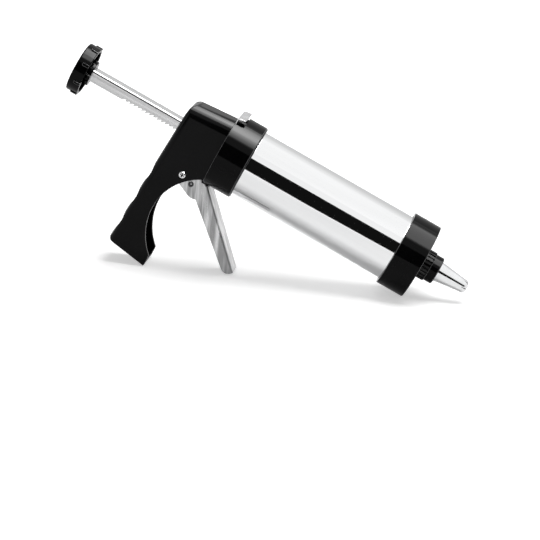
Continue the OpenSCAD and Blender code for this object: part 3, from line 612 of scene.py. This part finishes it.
def plastic_finishes(colours):
    """Finishes of the handle and of the glossy black pieces."""
    black = colours.satin_black
    satin = Finish("handle_plastic", "satin_handle_plastic", black, 0.0, 0.1)
    satin.gloss(0.1)
    satin.roughness(satin.noise(160.0), 0.08, 0.13)
    satin.colour(satin.noise(45.0), shade(black, 0.85), shade(black, 1.2))
    # Rounded edges lighter, as rubbed wear and a painted highlight, and painted shade in recesses
    satin.edge_highlight_and_recess_shade((0.008, 0.008, 0.0084), (0.002, 0.002, 0.002))
    satin.bump(satin.noise(1800.0, detail=2.0), 0.00001, 0.3)

    black = colours.gloss_black
    gloss = Finish("gloss_plastic", "gloss_black_plastic", black, 0.0, 0.06)
    gloss.gloss(0.08)
    gloss.roughness(gloss.noise(220.0), 0.045, 0.085)
    gloss.colour(gloss.noise(60.0), shade(black, 0.8), shade(black, 1.25))
    # Rounded edges far lighter, a painted highlight with rubbed wear, and painted shade in grooves and recesses
    gloss.edge_highlight_and_recess_shade((0.11, 0.11, 0.112), (0.001, 0.001, 0.001))
    gloss.bump(gloss.noise(90.0, detail=1.0), 0.00002, 0.25)


def steel_finishes(colours):
    """Finishes of the barrel, tip, rod, trigger and release plate."""
    steel = colours.bright_steel
    mirror = Finish("barrel_steel", "polished_barrel_steel", steel, 1.0, 0.05)
    mirror.roughness(mirror.noise(70.0, (0.12, 6.0, 6.0)), 0.035, 0.075)
    mirror.colour(mirror.noise(40.0, (0.15, 3.0, 3.0)), shade(steel, 0.965), shade(steel, 1.02))
    mirror.bump(mirror.noise(120.0, (0.05, 5.0, 5.0), detail=2.0), 0.000006, 0.3)

    tip = Finish("tip_steel", "pressed_tip_steel", shade(steel, 0.97), 1.0, 0.09)
    tip.roughness(tip.noise(300.0, (4.0, 1.0, 1.0)), 0.07, 0.13)
    tip.colour(tip.noise(120.0), shade(steel, 0.93), shade(steel, 0.99))

    steel = colours.rod_steel
    rod = Finish("rod_steel", "folded_rod_steel", steel, 1.0, 0.24)
    rod.roughness(rod.noise(500.0, (0.04, 1.0, 1.0)), 0.17, 0.32)
    rod.colour(rod.noise(260.0, (0.03, 1.0, 1.0)), shade(steel, 0.86), shade(steel, 1.12))
    # Rounded edges lighter, as rubbed wear and a painted highlight, and painted shade along the folds
    rod.edge_highlight_and_recess_shade((0.85, 0.85, 0.855), (0.1, 0.1, 0.1))
    rod.bump(rod.noise(900.0, (0.03, 1.0, 1.0), detail=2.0), 0.00001, 0.35)

    steel = colours.trigger_steel
    streaks = ARM_ANGLE + radians(20)
    trigger = Finish("trigger_steel", "trigger_sheet_steel", steel, 1.0, 0.3)
    trigger.roughness(trigger.noise(260.0, (0.1, 1.0, 1.0), ARM_ANGLE), 0.22, 0.4)
    trigger.colour(
        trigger.noise(200.0, (0.1, 1.0, 1.4), streaks, 3.0),
        shade(steel, 0.62), shade(steel, 1.35), (0.42, 0.62))
    # Painted highlight on edges and down the front, painted shade inside, along the folds and round the hook hole
    trigger.edge_highlight_and_recess_shade((0.86, 0.86, 0.865), (0.06, 0.06, 0.06))
    trigger.bump(trigger.noise(800.0, (0.05, 1.0, 1.0), ARM_ANGLE, 2.0), 0.000012, 0.35)

    plate = Finish("plate_steel", "release_plate_steel", (0.8, 0.8, 0.81), 1.0, 0.16)
    plate.roughness(plate.noise(420.0, (1.0, 0.1, 1.0)), 0.12, 0.24)
    plate.colour(plate.noise(150.0), (0.72, 0.72, 0.73), (0.84, 0.84, 0.85))


def inner_finishes():
    """Finishes of the fasteners, springs, pawl and piston."""
    zinc = Finish("screw_zinc", "zinc_fasteners", (0.78, 0.78, 0.79), 1.0, 0.2)
    zinc.roughness(zinc.noise(700.0), 0.15, 0.28)
    zinc.colour(zinc.noise(350.0), (0.7, 0.7, 0.71), (0.82, 0.82, 0.83))
    # Rounded edges lighter, as rubbed wear and a painted highlight, and painted shade in the cross slot
    zinc.edge_highlight_and_recess_shade((0.88, 0.88, 0.89), (0.03, 0.03, 0.03))

    spring = Finish("spring_steel", "drawn_spring_wire", (0.45, 0.45, 0.46), 1.0, 0.3)
    spring.roughness(spring.noise(900.0), 0.24, 0.38)
    spring.colour(spring.noise(500.0), (0.38, 0.38, 0.39), (0.5, 0.5, 0.51))

    pawl = Finish("pawl_steel", "hardened_pawl_steel", (0.38, 0.38, 0.4), 1.0, 0.36)
    pawl.roughness(pawl.noise(400.0), 0.3, 0.45)
    pawl.colour(pawl.noise(200.0), (0.3, 0.3, 0.315), (0.43, 0.43, 0.445))

    white = Finish("piston_plastic", "white_piston_plastic", (0.8, 0.8, 0.77), 0.0, 0.42)
    white.roughness(white.noise(300.0), 0.36, 0.5)
    white.colour(white.noise(90.0), (0.77, 0.77, 0.74), (0.83, 0.83, 0.8))
    white.bump(white.noise(1800.0, detail=2.0), 0.00002, 0.4)

    seal = Finish("seal_silicone", "clear_silicone_seal", (0.62, 0.62, 0.6), 0.0, 0.5)
    seal.roughness(seal.noise(250.0), 0.42, 0.6)
    seal.colour(seal.noise(120.0), (0.57, 0.57, 0.55), (0.67, 0.67, 0.65))


class PRESS_OT_finishes(bpy.types.Operator):
    """Make the finishes and give the inner CAD pieces theirs"""

    bl_idname = "press.finishes"
    bl_label = "Finishes"

    def execute(self, context):
        colours = context.scene.press_colours
        plastic_finishes(colours)
        steel_finishes(colours)
        inner_finishes()
        for row in frame["record"]["subparts"]:
            dress(row["node"], FINISHES[row["material_slot"]])
        return {"FINISHED"}


class PRESS_OT_barrel(bpy.types.Operator):
    """Make the polished barrel"""

    bl_idname = "press.barrel"
    bl_label = "Barrel"

    def execute(self, context):
        sizes = context.scene.press_sizes
        outer = sizes.barrel_radius / MM
        inner = outer - sizes.barrel_wall / MM
        back, front = 9.05, 160.65
        barrel = turned(
            [(back, inner), (back, outer), (front, outer), (front, inner)], BARREL_STEPS)
        round_edges(barrel, SHEET_EDGE)
        piece(context, "barrel_skin", barrel, "housing", "barrel_steel", ["barrel_tube"])
        return {"FINISHED"}


class PRESS_OT_collar(bpy.types.Operator):
    """Make the collar, with the notch and pocket for the release plate"""

    bl_idname = "press.collar"
    bl_label = "Collar"

    def execute(self, context):
        outer, socket, bore = 28.35, 25.05, 20.05
        front, seat, wall, chamfer = 22.3, 9, 4, 1
        collar = turned([
            (0, 0), (0, outer), (front - chamfer, outer), (front, outer - chamfer),
            (front, socket), (seat, socket), (seat, bore), (wall, bore), (wall, 0),
        ], RING_STEPS, closed=False)
        edge = context.scene.press_sizes.collar_edge
        round_edges(collar, edge, segments=3, angle=22)

        # Notch for the tab, down to a round core, the plate's T-shaped pocket and the rod's slot
        behind, above = -1, 40
        core_r, notch_half, notch_front = 23.85, 14.85, 7.25
        core = turned([(-3, 0), (-3, core_r), (seat, core_r), (seat, 0)], RING_STEPS, closed=False)
        notch = cut(block((behind, -notch_half, 0), (notch_front, notch_half, above)), core)
        stem, head, foot, shoulder, deep = 9.1, 14.65, -14.85, 14.37, 1.2
        outline = (
            (stem, foot), (stem, shoulder), (head, shoulder), (head, above),
            (-head, above), (-head, shoulder), (-stem, shoulder), (-stem, foot))
        pocket = prism(
            [at(behind, across, up) for across, up in outline], AXIS * (deep - behind) * MM)
        rod_slot = block((behind, -6.85, -4.6), (5, 6.85, 4.6))
        for tool in (notch, pocket, rod_slot):
            collar = cut(collar, tool)

        shelf = block((-6, -4, -20.6), (0.05, 4, -18.8))
        round_edges(shelf, SMALL_MOULDED_EDGE)
        piece(
            context, "collar_ring", joined(collar, shelf), "housing", "gloss_plastic",
            ["barrel_collar"], smooth=24)
        return {"FINISHED"}


class PRESS_OT_handle(bpy.types.Operator):
    """Make the hollow handle with softened edges"""

    bl_idname = "press.handle"
    bl_label = "Handle"

    def execute(self, context):
        def behind_front(edge):
            """The flat front meets the collar, so its edges stay sharp."""
            return min(along_of(v.co) for v in edge.verts) < -0.3

        edge = context.scene.press_sizes.moulded_edge
        handle = softened("handle_body", edge, angle=34, pick=behind_front)
        piece(context, "handle_shell", handle, "housing", "handle_plastic", ["handle_body"])
        return {"FINISHED"}


class PRESS_OT_front_cap(bpy.types.Operator):
    """Make the screw-on front cap"""

    bl_idname = "press.front_cap"
    bl_label = "Front cap"

    def execute(self, context):
        sizes = context.scene.press_sizes
        outer, bore, mouth = sizes.cap_radius / MM, 25.6, 20.5
        back, inside = 143.75, 163.25
        cap = turned([
            (back, bore), (back, outer), (CAP_FRONT, outer), (CAP_FRONT, mouth),
            (inside, mouth), (inside, bore),
        ], RING_STEPS)
        outside = (outer + 2 * bore) / 3
        round_edges(
            cap, sizes.cap_edge, segments=4, pick=lambda e: radius_of(e.verts[0].co) > outside)
        round_edges(cap, RIM_EDGE, angle=60)
        piece(context, "cap_ring", cap, "cap", "gloss_plastic", ["front_cap"])
        return {"FINISHED"}


def make_adapter(context):
    """Stepped plate in the cap's mouth, with the stub that the nut screws on to."""
    back, flange, face, stub = 160.7, 163.2, 164.4, 169.4
    hollow, rim, boss, thread, passage = 17, 24.95, 20.15, 9.5, 6.7
    adapter = turned([
        (back, hollow), (back, rim), (flange, rim), (flange, boss), (face, boss),
        (face, thread), (stub, thread), (stub, passage), (face, passage),
    ], ADAPTER_STEPS)
    round_edges(adapter, SMALL_MOULDED_EDGE)
    piece(context, "adapter_plate", adapter, "adapter", "gloss_plastic", ["nozzle_adapter"])


def make_nut(context):
    """Nut with ribs around its wide end."""
    steps = context.scene.press_sizes.nut_ribs * RIB_STEPS
    back, ribs_end, shoulder, front, seat = 164.9, 171.1, 172.1, 178.4, 170.3
    rib, thread, nose = 11.25, 9.55, 10.3
    lead, rim = 0.25, 0.3
    nut = turned([
        (back, thread), (back, rib - lead), (back + lead, rib), (ribs_end, rib),
        (shoulder - rim, rib), (shoulder, rib - rim), (shoulder, nose), (front - 0.5, nose),
        (front, nose - 0.5), (front, 7.67), (seat, 8.69), (seat, thread),
    ], steps)
    start, end = back - 0.1, ribs_end + 0.1
    groove(nut, steps, RIB_STEPS, wide=2, depth=0.75, span=(start, end), radius=rib)
    groove(nut, steps, RIB_STEPS, wide=2, depth=0.5, span=(start, back + 0.1), radius=rib - lead)
    round_edges(nut, FINE_EDGE, angle=25)
    layer = light_and_wear_layer(nut)

    def on_rib(face):
        centre = face.calc_center_median()
        on_top = abs(radius_of(centre) - rib) < 2 * CLOSE
        return along_of(centre) < end and on_top and face[layer] > PAINTED_SHADE / 2

    # Tops of the ribs lighter, a painted highlight, beside the painted shade of the grooves
    mark(nut, RIB_HIGHLIGHT, on_rib)
    piece(context, "nut_shell", nut, "nut", "gloss_plastic", ["nozzle_nut"])


def make_tip(context):
    """Piping tip, a cone whose crown curves in and is slit to a star."""
    slits, crown_steps = 6, 8
    start, length, radius, drop, wall = 198.85, 3.6, 5.0, 1.9, 0.5
    shares = [k / crown_steps for k in range(crown_steps + 1)]
    crown = [(start + length * share, radius - drop * share ** 2.6) for share in shares]
    inside = [(a, r - wall) for a, r in reversed(crown)]
    back, flange, flange_r = 169.45, 170.25, 9.5
    tip = turned([
        (back, flange_r), (flange - 0.1, flange_r), (flange, flange_r - 0.1), (flange, 8.72),
        (flange + 0.2, 8.57), *crown, *inside, (back, 8.2),
    ], TIP_STEPS)
    point, mouth, half = 197.65, 203.45, 0.65
    corners = ((point, 0), (mouth, -half), (mouth, half))
    slit = prism([at(along, across, 0.4) for along, across in corners], UP * 8 * MM)
    set_around(slit, slits)
    piece(context, "tip_cone", cut(tip, slit), "tip", "tip_steel", ["piping_tip"], smooth=40)


class PRESS_OT_nozzle(bpy.types.Operator):
    """Make the adapter plate, the ribbed nut and the piping tip"""

    bl_idname = "press.nozzle"
    bl_label = "Nozzle"

    def execute(self, context):
        for make in (make_adapter, make_nut, make_tip):
            make(context)
        return {"FINISHED"}


def make_rod(context):
    """Folded rod with teeth, with painted shade along its two folds."""
    def on_fold(face):
        return 0.15 < face.normal.dot(UP) < 0.55 and abs(face.normal.dot(ACROSS)) > 0.6

    rod = softened("plunger_rod", FINE_EDGE, segments=1, angle=40)
    mark(rod, 0.0)
    # Painted shade along the folds
    mark(rod, ROD_FOLD_SHADE, on_fold)
    piece(context, "rod_channel", rod, "plunger", "rod_steel", ["plunger_rod"])


def make_knob(context):
    """Dished knob with lugs around its rim and a grooved hub."""
    back, rim, hub = -119.1, -109.6, -106.7
    outer, inner, hub_r = 18.5, 16.1, 9.5
    dish, web = 0.35, 2.4
    knob = turned([
        (back, 0), (back, 12), (back + dish, 13.2), (back + dish, 15.6), (back, 16.6),
        (back, 17.3), (back + dish, 18.15), (back + 1.2, outer), (rim - 0.5, outer),
        (rim, outer - 0.5), (rim, inner + 0.4), (rim - 0.4, inner), (back + web, inner),
        (back + web, hub_r), (hub - 0.4, hub_r), (hub, hub_r - 0.4), (hub, 0),
    ], KNOB_STEPS, closed=False)
    # Grooves in the hub, their floors in painted shade
    groove(
        knob, KNOB_STEPS, every=12, wide=4, depth=0.8, span=(back + 3, hub - 0.2), radius=hub_r)
    lug = block((rim - 5.4, -1.2, 17.6), (rim - 0.1, 1.2, 19.4))
    round_edges(lug, RIM_EDGE)
    set_around(lug, context.scene.press_sizes.knob_lugs)
    piece(
        context, "knob_wheel", joined(knob, lug), "plunger", "gloss_plastic", ["plunger_knob"])


class PRESS_OT_plunger(bpy.types.Operator):
    """Make the toothed rod and the knob"""

    bl_idname = "press.plunger"
    bl_label = "Plunger"

    def execute(self, context):
        make_rod(context)
        make_knob(context)
        return {"FINISHED"}


def make_lever(context):
    """Trigger with its folds rounded, a painted highlight down its front, and painted shade inside, along its
    front folds and round the hook hole.
    """
    lever = softened("trigger", 0)
    fold = context.scene.press_sizes.fold_radius
    outer_fold = runs(ARM, PIVOT, (ACROSS, 10.0), (ARM_FRONT, 14.45))
    inner_fold = runs(ARM, PIVOT, (ACROSS, 8.8), (ARM_FRONT, 13.25))
    round_edges(lever, fold, segments=5, angle=40, pick=outer_fold)
    round_edges(lever, fold * 0.3, segments=3, angle=40, pick=inner_fold)
    round_edges(lever, SHEET_EDGE, segments=1, angle=50)

    def inward(face):
        across = face.normal.y
        return abs(across) > 0.9 and across * face.calc_center_median().y < 0

    def in_front(face, low, high):
        """Whether a face lies at the trigger's front and faces forward by a share."""
        reach = (face.calc_center_median() - PIVOT).dot(ARM_FRONT)
        return reach > 12 * MM and low < face.normal.dot(ARM_FRONT) < high

    def by_hook(face):
        return (face.calc_center_median() - HOOK).cross(ACROSS).length < 2.1 * MM

    mark(lever, 0.0)
    # Painted shade on the inner faces
    mark(lever, PAINTED_SHADE, inward)
    # Painted highlight on the forward faces and painted shade on the front folds
    mark(lever, TRIGGER_FRONT_HIGHLIGHT, lambda face: in_front(face, PARALLEL, 1.1))
    mark(lever, TRIGGER_FOLD_SHADE, lambda face: in_front(face, 0.2, 0.9))
    # Painted shade round the hook hole
    mark(lever, PAINTED_SHADE, by_hook)
    piece(context, "trigger_lever", lever, "trigger", "trigger_steel", ["trigger"])


class PRESS_OT_trigger(bpy.types.Operator):
    """Make the folded trigger and the pawl that it carries"""

    bl_idname = "press.trigger"
    bl_label = "Trigger"

    def execute(self, context):
        make_lever(context)
        pawl = softened("drive_pawl", STEEL_EDGE, segments=1, angle=40)
        piece(context, "pawl_tooth", pawl, "pawl", "pawl_steel", ["drive_pawl"])
        return {"FINISHED"}


class PRESS_OT_release(bpy.types.Operator):
    """Make the bent release plate with its thumb tab"""

    bl_idname = "press.release"
    bl_label = "Release plate"

    def execute(self, context):
        plate = softened("release_plate", 0)
        outer_bend = runs(ACROSS, ORIGIN, (AXIS, 0.15), (UP, 28.45))
        inner_bend = runs(ACROSS, ORIGIN, (AXIS, 1.05), (UP, 27.55))
        round_edges(plate, OUTER_BEND, segments=5, angle=30, pick=outer_bend)
        round_edges(plate, INNER_BEND, segments=3, angle=30, pick=inner_bend)
        round_edges(plate, PLATE_EDGE, segments=1, angle=50)
        piece(context, "release_tab", plate, "release", "plate_steel", ["release_plate"])
        return {"FINISHED"}


def make_return_spring(context):
    """Spring around the pivot, from a hook in the trigger to a leg against the housing."""
    half, radius, turns, gauge = 3.4, 4.2, 4, 1.2
    hook_along = (HOOK - PIVOT).dot(AXIS) / MM
    hook_up = (HOOK - PIVOT).dot(UP) / MM
    back = (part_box("trigger_spring")[0] - PIVOT).dot(AXIS) / MM
    route = [
        off(PIVOT, hook_along, -9.3, hook_up),
        off(PIVOT, hook_along, -half - 1.8, hook_up),
        off(PIVOT, hook_along - 0.12, -half - 1.0, hook_up),
        off(PIVOT, hook_along - 0.5, -half - 0.35, hook_up),
        off(PIVOT, hook_along - 1.3, -half, (hook_up * 4 - radius) / 5),
        *coil(
            PIVOT, (AXIS, UP, ACROSS), radius, -pi / 2, -1, turns, -half, 2 * half / turns),
        off(PIVOT, back + 2.2, half, -radius),
    ]
    piece(
        context, "return_spring_wire", wire(route, gauge * MM), ("trigger", "housing"),
        "spring_steel", ["trigger_spring"], smooth=60,
        twist=(off(PIVOT, 0, -half, 0), off(PIVOT, 0, half, 0)))


def make_pawl_spring(context):
    """Spring around the pawl's pin, from a leg on the pawl to one on the trigger."""
    inner, outer, radius, turns, gauge = 4.95, 8.13, 2.4, 3, 0.6
    pitch = (outer - inner) / turns
    below = (PIVOT - PAWL).dot(UP) / MM
    route = [
        off(PAWL, -3.4, inner, 4.6),
        *coil(PAWL, (AXIS, UP, ACROSS), radius, pi, 1, turns, inner, pitch),
        off(PAWL, -radius, outer, below + 2.4),
    ]
    piece(
        context, "pawl_spring_wire", wire(route, gauge * MM), ("pawl", "trigger"),
        "spring_steel", ["pawl_spring"], smooth=60,
        twist=(PAWL + ACROSS * inner * MM, PAWL + ACROSS * outer * MM))


def make_release_spring(context):
    """Upright spring under the release plate."""
    spot, foot, top = -3.2, -18.5, -12.3
    radius, turns, gauge = 1.6, 5, 0.5
    pitch = (top - foot) / turns
    route = coil(at(spot), (AXIS, ACROSS, UP), radius, 0.0, 1, turns, foot, pitch)
    release = piece(
        context, "release_spring_wire", wire(route, gauge * MM), "housing",
        "spring_steel", ["release_spring"], smooth=60)
    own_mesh(release)


class PRESS_OT_springs(bpy.types.Operator):
    """Make the three springs as smooth wire"""

    bl_idname = "press.springs"
    bl_label = "Springs"

    def execute(self, context):
        for make in (make_return_spring, make_pawl_spring, make_release_spring):
            make(context)
        return {"FINISHED"}


def make_pivot_screw(context):
    """Screw with a domed head and a cross slot, on the near side."""
    near = -ACROSS
    top, collar = 15.2, 13.7
    head = turned([
        (-2.5, 0), (-2.5, 1.2), (collar, 1.2), (collar, 2.5), (14.6, 2.5), (15.0, 2.2),
        (top, 1.7), (top, 0),
    ], SCREW_STEPS, closed=False, centre=PIVOT, axis=near)
    round_edges(head, STEEL_EDGE, angle=50)
    long, deep, narrow = 2.9, 2.4, 0.9
    for way, side in ((AXIS, UP), (UP, AXIS)):
        slot = cuboid(PIVOT + near * top * MM, (way, near, side), (long, deep, narrow))
        head = cut(head, slot)

    def in_slot(face):
        out = face.calc_center_median() - PIVOT
        return out.cross(near).length < 1.6 * MM and 13.8 * MM < out.dot(near) < 15.15 * MM

    # Painted shade in the cross slot
    mark(head, PAINTED_SHADE, in_slot)
    piece(context, "pivot_screw_head", head, "housing", "screw_zinc", ["pivot_screw"])


def make_sleeve(context):
    """Sleeve nut on the far side, which the trigger turns on."""
    end, collar, top, floor = -13.65, 13.7, 15.2, 5
    bore, outer, head = 1.25, 1.9, 2.5
    sleeve = turned([
        (end, bore), (end, outer), (collar, outer), (collar, head), (14.7, head), (15.05, 2.2),
        (top, 1.7), (top, 0), (floor, 0), (floor, bore),
    ], SCREW_STEPS, centre=PIVOT, axis=ACROSS)
    round_edges(sleeve, SLEEVE_EDGE, segments=1, angle=50)
    piece(context, "sleeve_nut", sleeve, "housing", "screw_zinc", ["pivot_sleeve"])


class PRESS_OT_pivot(bpy.types.Operator):
    """Make the pivot screw and the sleeve nut that the trigger turns on"""

    bl_idname = "press.pivot"
    bl_label = "Pivot screw"

    def execute(self, context):
        make_pivot_screw(context)
        make_sleeve(context)
        return {"FINISHED"}


def plane(context, name, corners, material):
    """Flat sheet of the stage between four corners."""
    bm = bmesh.new()
    bm.faces.new([bm.verts.new(c) for c in corners])
    mesh = bpy.data.meshes.new(name)
    bm.to_mesh(mesh)
    bm.free()
    mesh.materials.append(material)
    obj = bpy.data.objects.new(name, mesh)
    context.scene.collection.objects.link(obj)
    return obj


def sheet(first, last):
    """Corners of a flat sheet between two of them in the gun's frame, in millimetres."""
    (back, near, low), (front, far, high) = first, last
    return [at(back, near, low), at(front, near, low), at(front, far, high), at(back, far, high)]


def calculation(tree, operation, *inputs, kind="ShaderNodeMath"):
    """Node that works on numbers or vectors, each of them a socket to link or a constant."""
    node = tree.nodes.new(kind)
    node.operation = operation
    for socket, value in zip(node.inputs, inputs):
        if isinstance(value, bpy.types.NodeSocket):
            tree.links.new(value, socket)
        else:
            socket.default_value = value
    return node


def vector_work(tree, operation, *inputs):
    return calculation(tree, operation, *inputs, kind="ShaderNodeVectorMath")


def object_place(tree):
    """Socket of the object coordinates."""
    return tree.nodes.new("ShaderNodeTexCoord").outputs["Object"]


def split(tree, vector):
    """Outputs that hold the three parts of a vector."""
    node = tree.nodes.new("ShaderNodeSeparateXYZ")
    tree.links.new(vector, node.inputs[0])
    return node.outputs


def scaled(tree, value, low, high, start=0.0, end=1.0):
    """Soft step from a low to a high value."""
    node = mapped(tree, value, start, end, low, high)
    node.interpolation_type = "SMOOTHSTEP"
    return node.outputs["Result"]


def glowing(tree, strength):
    """White glow of a strength."""
    node = tree.nodes.new("ShaderNodeEmission")
    tree.links.new(strength, node.inputs["Strength"])
    return node.outputs[0]


def added(tree, first, second):
    """Sum of two shaders."""
    node = tree.nodes.new("ShaderNodeAddShader")
    tree.links.new(first, node.inputs[0])
    tree.links.new(second, node.inputs[1])
    return node.outputs[0]


def seen_or_mirrored(tree, mirrored=1.0):
    """One for rays from the camera, a share for mirrors and glass, and nought for the rest."""
    rays = tree.nodes.new("ShaderNodeLightPath").outputs
    gloss = calculation(tree, "MAXIMUM", rays["Is Glossy Ray"], rays["Is Transmission Ray"])
    total = calculation(
        tree, "MULTIPLY_ADD", gloss.outputs[0], mirrored, rays["Is Camera Ray"])
    total.use_clamp = True
    return total.outputs[0]


def bare(name):
    """Empty material, its tree and its output socket."""
    material = bpy.data.materials.new(name)
    material.use_nodes = True
    material.node_tree.nodes.clear()
    out = material.node_tree.nodes.new("ShaderNodeOutputMaterial")
    return material, material.node_tree, out.inputs["Surface"]


def floor_finish(stage):
    """Pale floor that takes shadows near the press and fades into white around it."""
    material, tree, surface = bare("pale_floor")
    matt = tree.nodes.new("ShaderNodeBsdfDiffuse")
    matt.inputs["Color"].default_value = (stage.floor_grey,) * 3 + (1.0,)
    reach = vector_work(tree, "LENGTH", object_place(tree)).outputs["Value"]
    rise = scaled(tree, reach, stage.floor_glow, 1.0, *FLOOR_FADE)
    strength = calculation(tree, "MULTIPLY", rise, seen_or_mirrored(tree, FLOOR_MIRRORED))
    glow = glowing(tree, strength.outputs[0])
    tree.links.new(added(tree, matt.outputs[0], glow), surface)
    return material


def hot_finish(name):
    """Card that is brightest in its middle, as a softbox is, with soft near and far sides."""
    material, tree, surface = bare(name)
    place = object_place(tree)
    centred = vector_work(tree, "SUBTRACT", place, at(*HOT_MIDDLE))
    drawn = vector_work(tree, "MULTIPLY", centred.outputs[0], HOT_SQUASH)
    offset = vector_work(tree, "LENGTH", drawn.outputs[0]).outputs["Value"]
    strength = scaled(tree, offset, *HOT_STRENGTHS, 0.0, HOT_REACH)
    across = split(tree, place)["Y"]
    for start, end, power in HOT_SIDES:
        fade = scaled(tree, across, 0.0, 1.0, start, end)
        ramp = calculation(tree, "POWER", fade, power).outputs[0]
        share = scaled(tree, ramp, HOT_LEAST, 1.0)
        strength = calculation(tree, "MULTIPLY", strength, share).outputs[0]
    clear = tree.nodes.new("ShaderNodeBsdfTransparent").outputs[0]
    tree.links.new(added(tree, glowing(tree, strength), clear), surface)
    return material


def card_finish(name, low, high, start=0.0, end=1.0):
    """Card whose brightness changes from a low to a high edge."""
    material, tree, surface = bare(name)
    height = split(tree, object_place(tree))["Z"]
    strength = scaled(tree, height, low, high, start, end)
    tree.links.new(glowing(tree, strength), surface)
    return material


def keep_off(light, names):
    """Keeps the light of a lamp or card off some pieces."""
    group = bpy.data.collections.new(light.name + "_off")
    for name in names:
        group.objects.link(bpy.data.objects[name])
    for row in group.collection_objects:
        row.light_linking.link_state = "EXCLUDE"
    light.light_linking.receiver_collection = group


def set_cards(context, stage):
    """Cards that only mirrors see: dark in front, pale behind, hot overhead, and one for steel."""
    cards = (
        ("front_card", (-900, -450, -66), (1100, -450, 290),
         card_finish("dark_card", DARK_CARD, DARK_CARD)),
        ("rear_card", (-900, 760, -66), (1100, 760, 1250),
         card_finish("pale_card", stage.rear_grey, 1.0, *PALE_RISE)),
        ("hot_card", (-450, -920, HOT_HEIGHT), (530, 760, HOT_HEIGHT), hot_finish("hot_card")),
        ("steel_card", (-700, -1000, 1300), (800, 1100, 1300),
         card_finish("steel_card", STEEL_CARD, STEEL_CARD)),
    )
    for name, first, last, material in cards:
        card = plane(context, name, sheet(first, last), material)
        for ray in ("camera", "diffuse", "transmission", "shadow"):
            setattr(card, "visible_" + ray, False)

    # Bright steel mirrors the steel card instead, so that its highlights aren't burnt out
    bright = ("barrel_skin", "tip_cone", "rod_channel", "release_tab")
    keep_off(bpy.data.objects["hot_card"], bright)


def set_air(scene, fill):
    """White surroundings for the camera and mirrors, and a soft fill for the rest."""
    world = scene.world or bpy.data.worlds.new("studio")
    scene.world = world
    world.use_nodes = True
    tree = world.node_tree
    tree.nodes.clear()
    air = tree.nodes.new("ShaderNodeBackground")
    air.inputs["Color"].default_value = (1.0, 1.0, 1.0, 1.0)
    strength = scaled(tree, seen_or_mirrored(tree), fill, 1.0)
    tree.links.new(strength, air.inputs["Strength"])
    out = tree.nodes.new("ShaderNodeOutputWorld")
    tree.links.new(air.outputs[0], out.inputs["Surface"])


def set_softbox(scene, power):
    """Lamp above the barrel, in line with it."""
    lamp = bpy.data.lights.new("softbox", "AREA")
    lamp.shape = "RECTANGLE"
    lamp.size, lamp.size_y = LAMP_SIDES
    lamp.energy = power
    softbox = bpy.data.objects.new("softbox", lamp)
    softbox.matrix_world = Matrix.Translation(at(*LAMP_PLACE)) @ facing(AXIS, ACROSS, UP)
    scene.collection.objects.link(softbox)
    keep_off(softbox, ("barrel_skin", "tip_cone"))


def set_camera(scene):
    """Camera of the main view, rolled about its line of sight."""
    lens = bpy.data.cameras.new("camera")
    lens.sensor_width = SENSOR
    lens.lens = FOCAL_PIXELS / PHOTO_SIDE * SENSOR
    lens.clip_end = VIEW_END
    forward = (AIM - EYE).normalized()
    right = forward.cross(Vector((0, 0, 1))).normalized()
    top = right.cross(forward)
    rolled_right = right * cos(ROLL) + top * sin(ROLL)
    rolled_top = top * cos(ROLL) - right * sin(ROLL)
    camera = bpy.data.objects.new("camera", lens)
    camera.matrix_world = Matrix.Translation(EYE) @ facing(rolled_right, rolled_top, -forward)
    scene.collection.objects.link(camera)
    scene.camera = camera


class PRESS_OT_stage(bpy.types.Operator):
    """Make the floor, the light and the camera"""

    bl_idname = "press.stage"
    bl_label = "Stage"

    def execute(self, context):
        scene = context.scene
        stage = scene.press_stage
        scene.view_settings.view_transform = "Standard"
        half, low = FLOOR_HALF, FLOOR_LEVEL
        corners = [(-half, -half, low), (half, -half, low), (half, half, low), (-half, half, low)]
        plane(context, "floor", corners, floor_finish(stage))
        set_cards(context, stage)
        set_air(scene, stage.fill)
        set_softbox(scene, stage.softbox_power)
        set_camera(scene)
        return {"FINISHED"}


class PRESS_PT_panel(bpy.types.Panel):
    """Lists the sizes, colours and builders of the press"""

    bl_idname = "PRESS_PT_panel"
    bl_label = "Pastry Press"
    bl_space_type = "VIEW_3D"
    bl_region_type = "UI"
    bl_category = "Press"

    def draw(self, context):
        layout = self.layout
        for group_name in GROUPS:
            group = getattr(context.scene, group_name)
            box = layout.box()
            for name in group.__annotations__:
                box.prop(group, name)
        for operator in BUILDERS:
            layout.operator(operator.bl_idname)


BUILDERS = (
    PRESS_OT_finishes, PRESS_OT_barrel, PRESS_OT_collar, PRESS_OT_handle, PRESS_OT_front_cap,
    PRESS_OT_nozzle, PRESS_OT_plunger, PRESS_OT_trigger, PRESS_OT_release, PRESS_OT_springs,
    PRESS_OT_pivot, PRESS_OT_stage,
)
GROUPS = {"press_sizes": PressSizes, "press_colours": PressColours, "press_stage": PressStage}
CLASSES = (*GROUPS.values(), *BUILDERS, PRESS_PT_panel)


def register():
    for cls in CLASSES:
        bpy.utils.register_class(cls)
    for name, cls in GROUPS.items():
        setattr(bpy.types.Scene, name, PointerProperty(type=cls))


def unregister():
    for name in GROUPS:
        delattr(bpy.types.Scene, name)
    for cls in reversed(CLASSES):
        bpy.utils.unregister_class(cls)


def main():
    register()
    for operator in BUILDERS:
        group, name = operator.bl_idname.split(".")
        getattr(getattr(bpy.ops, group), name)()


if __name__ == "__main__":
    main()
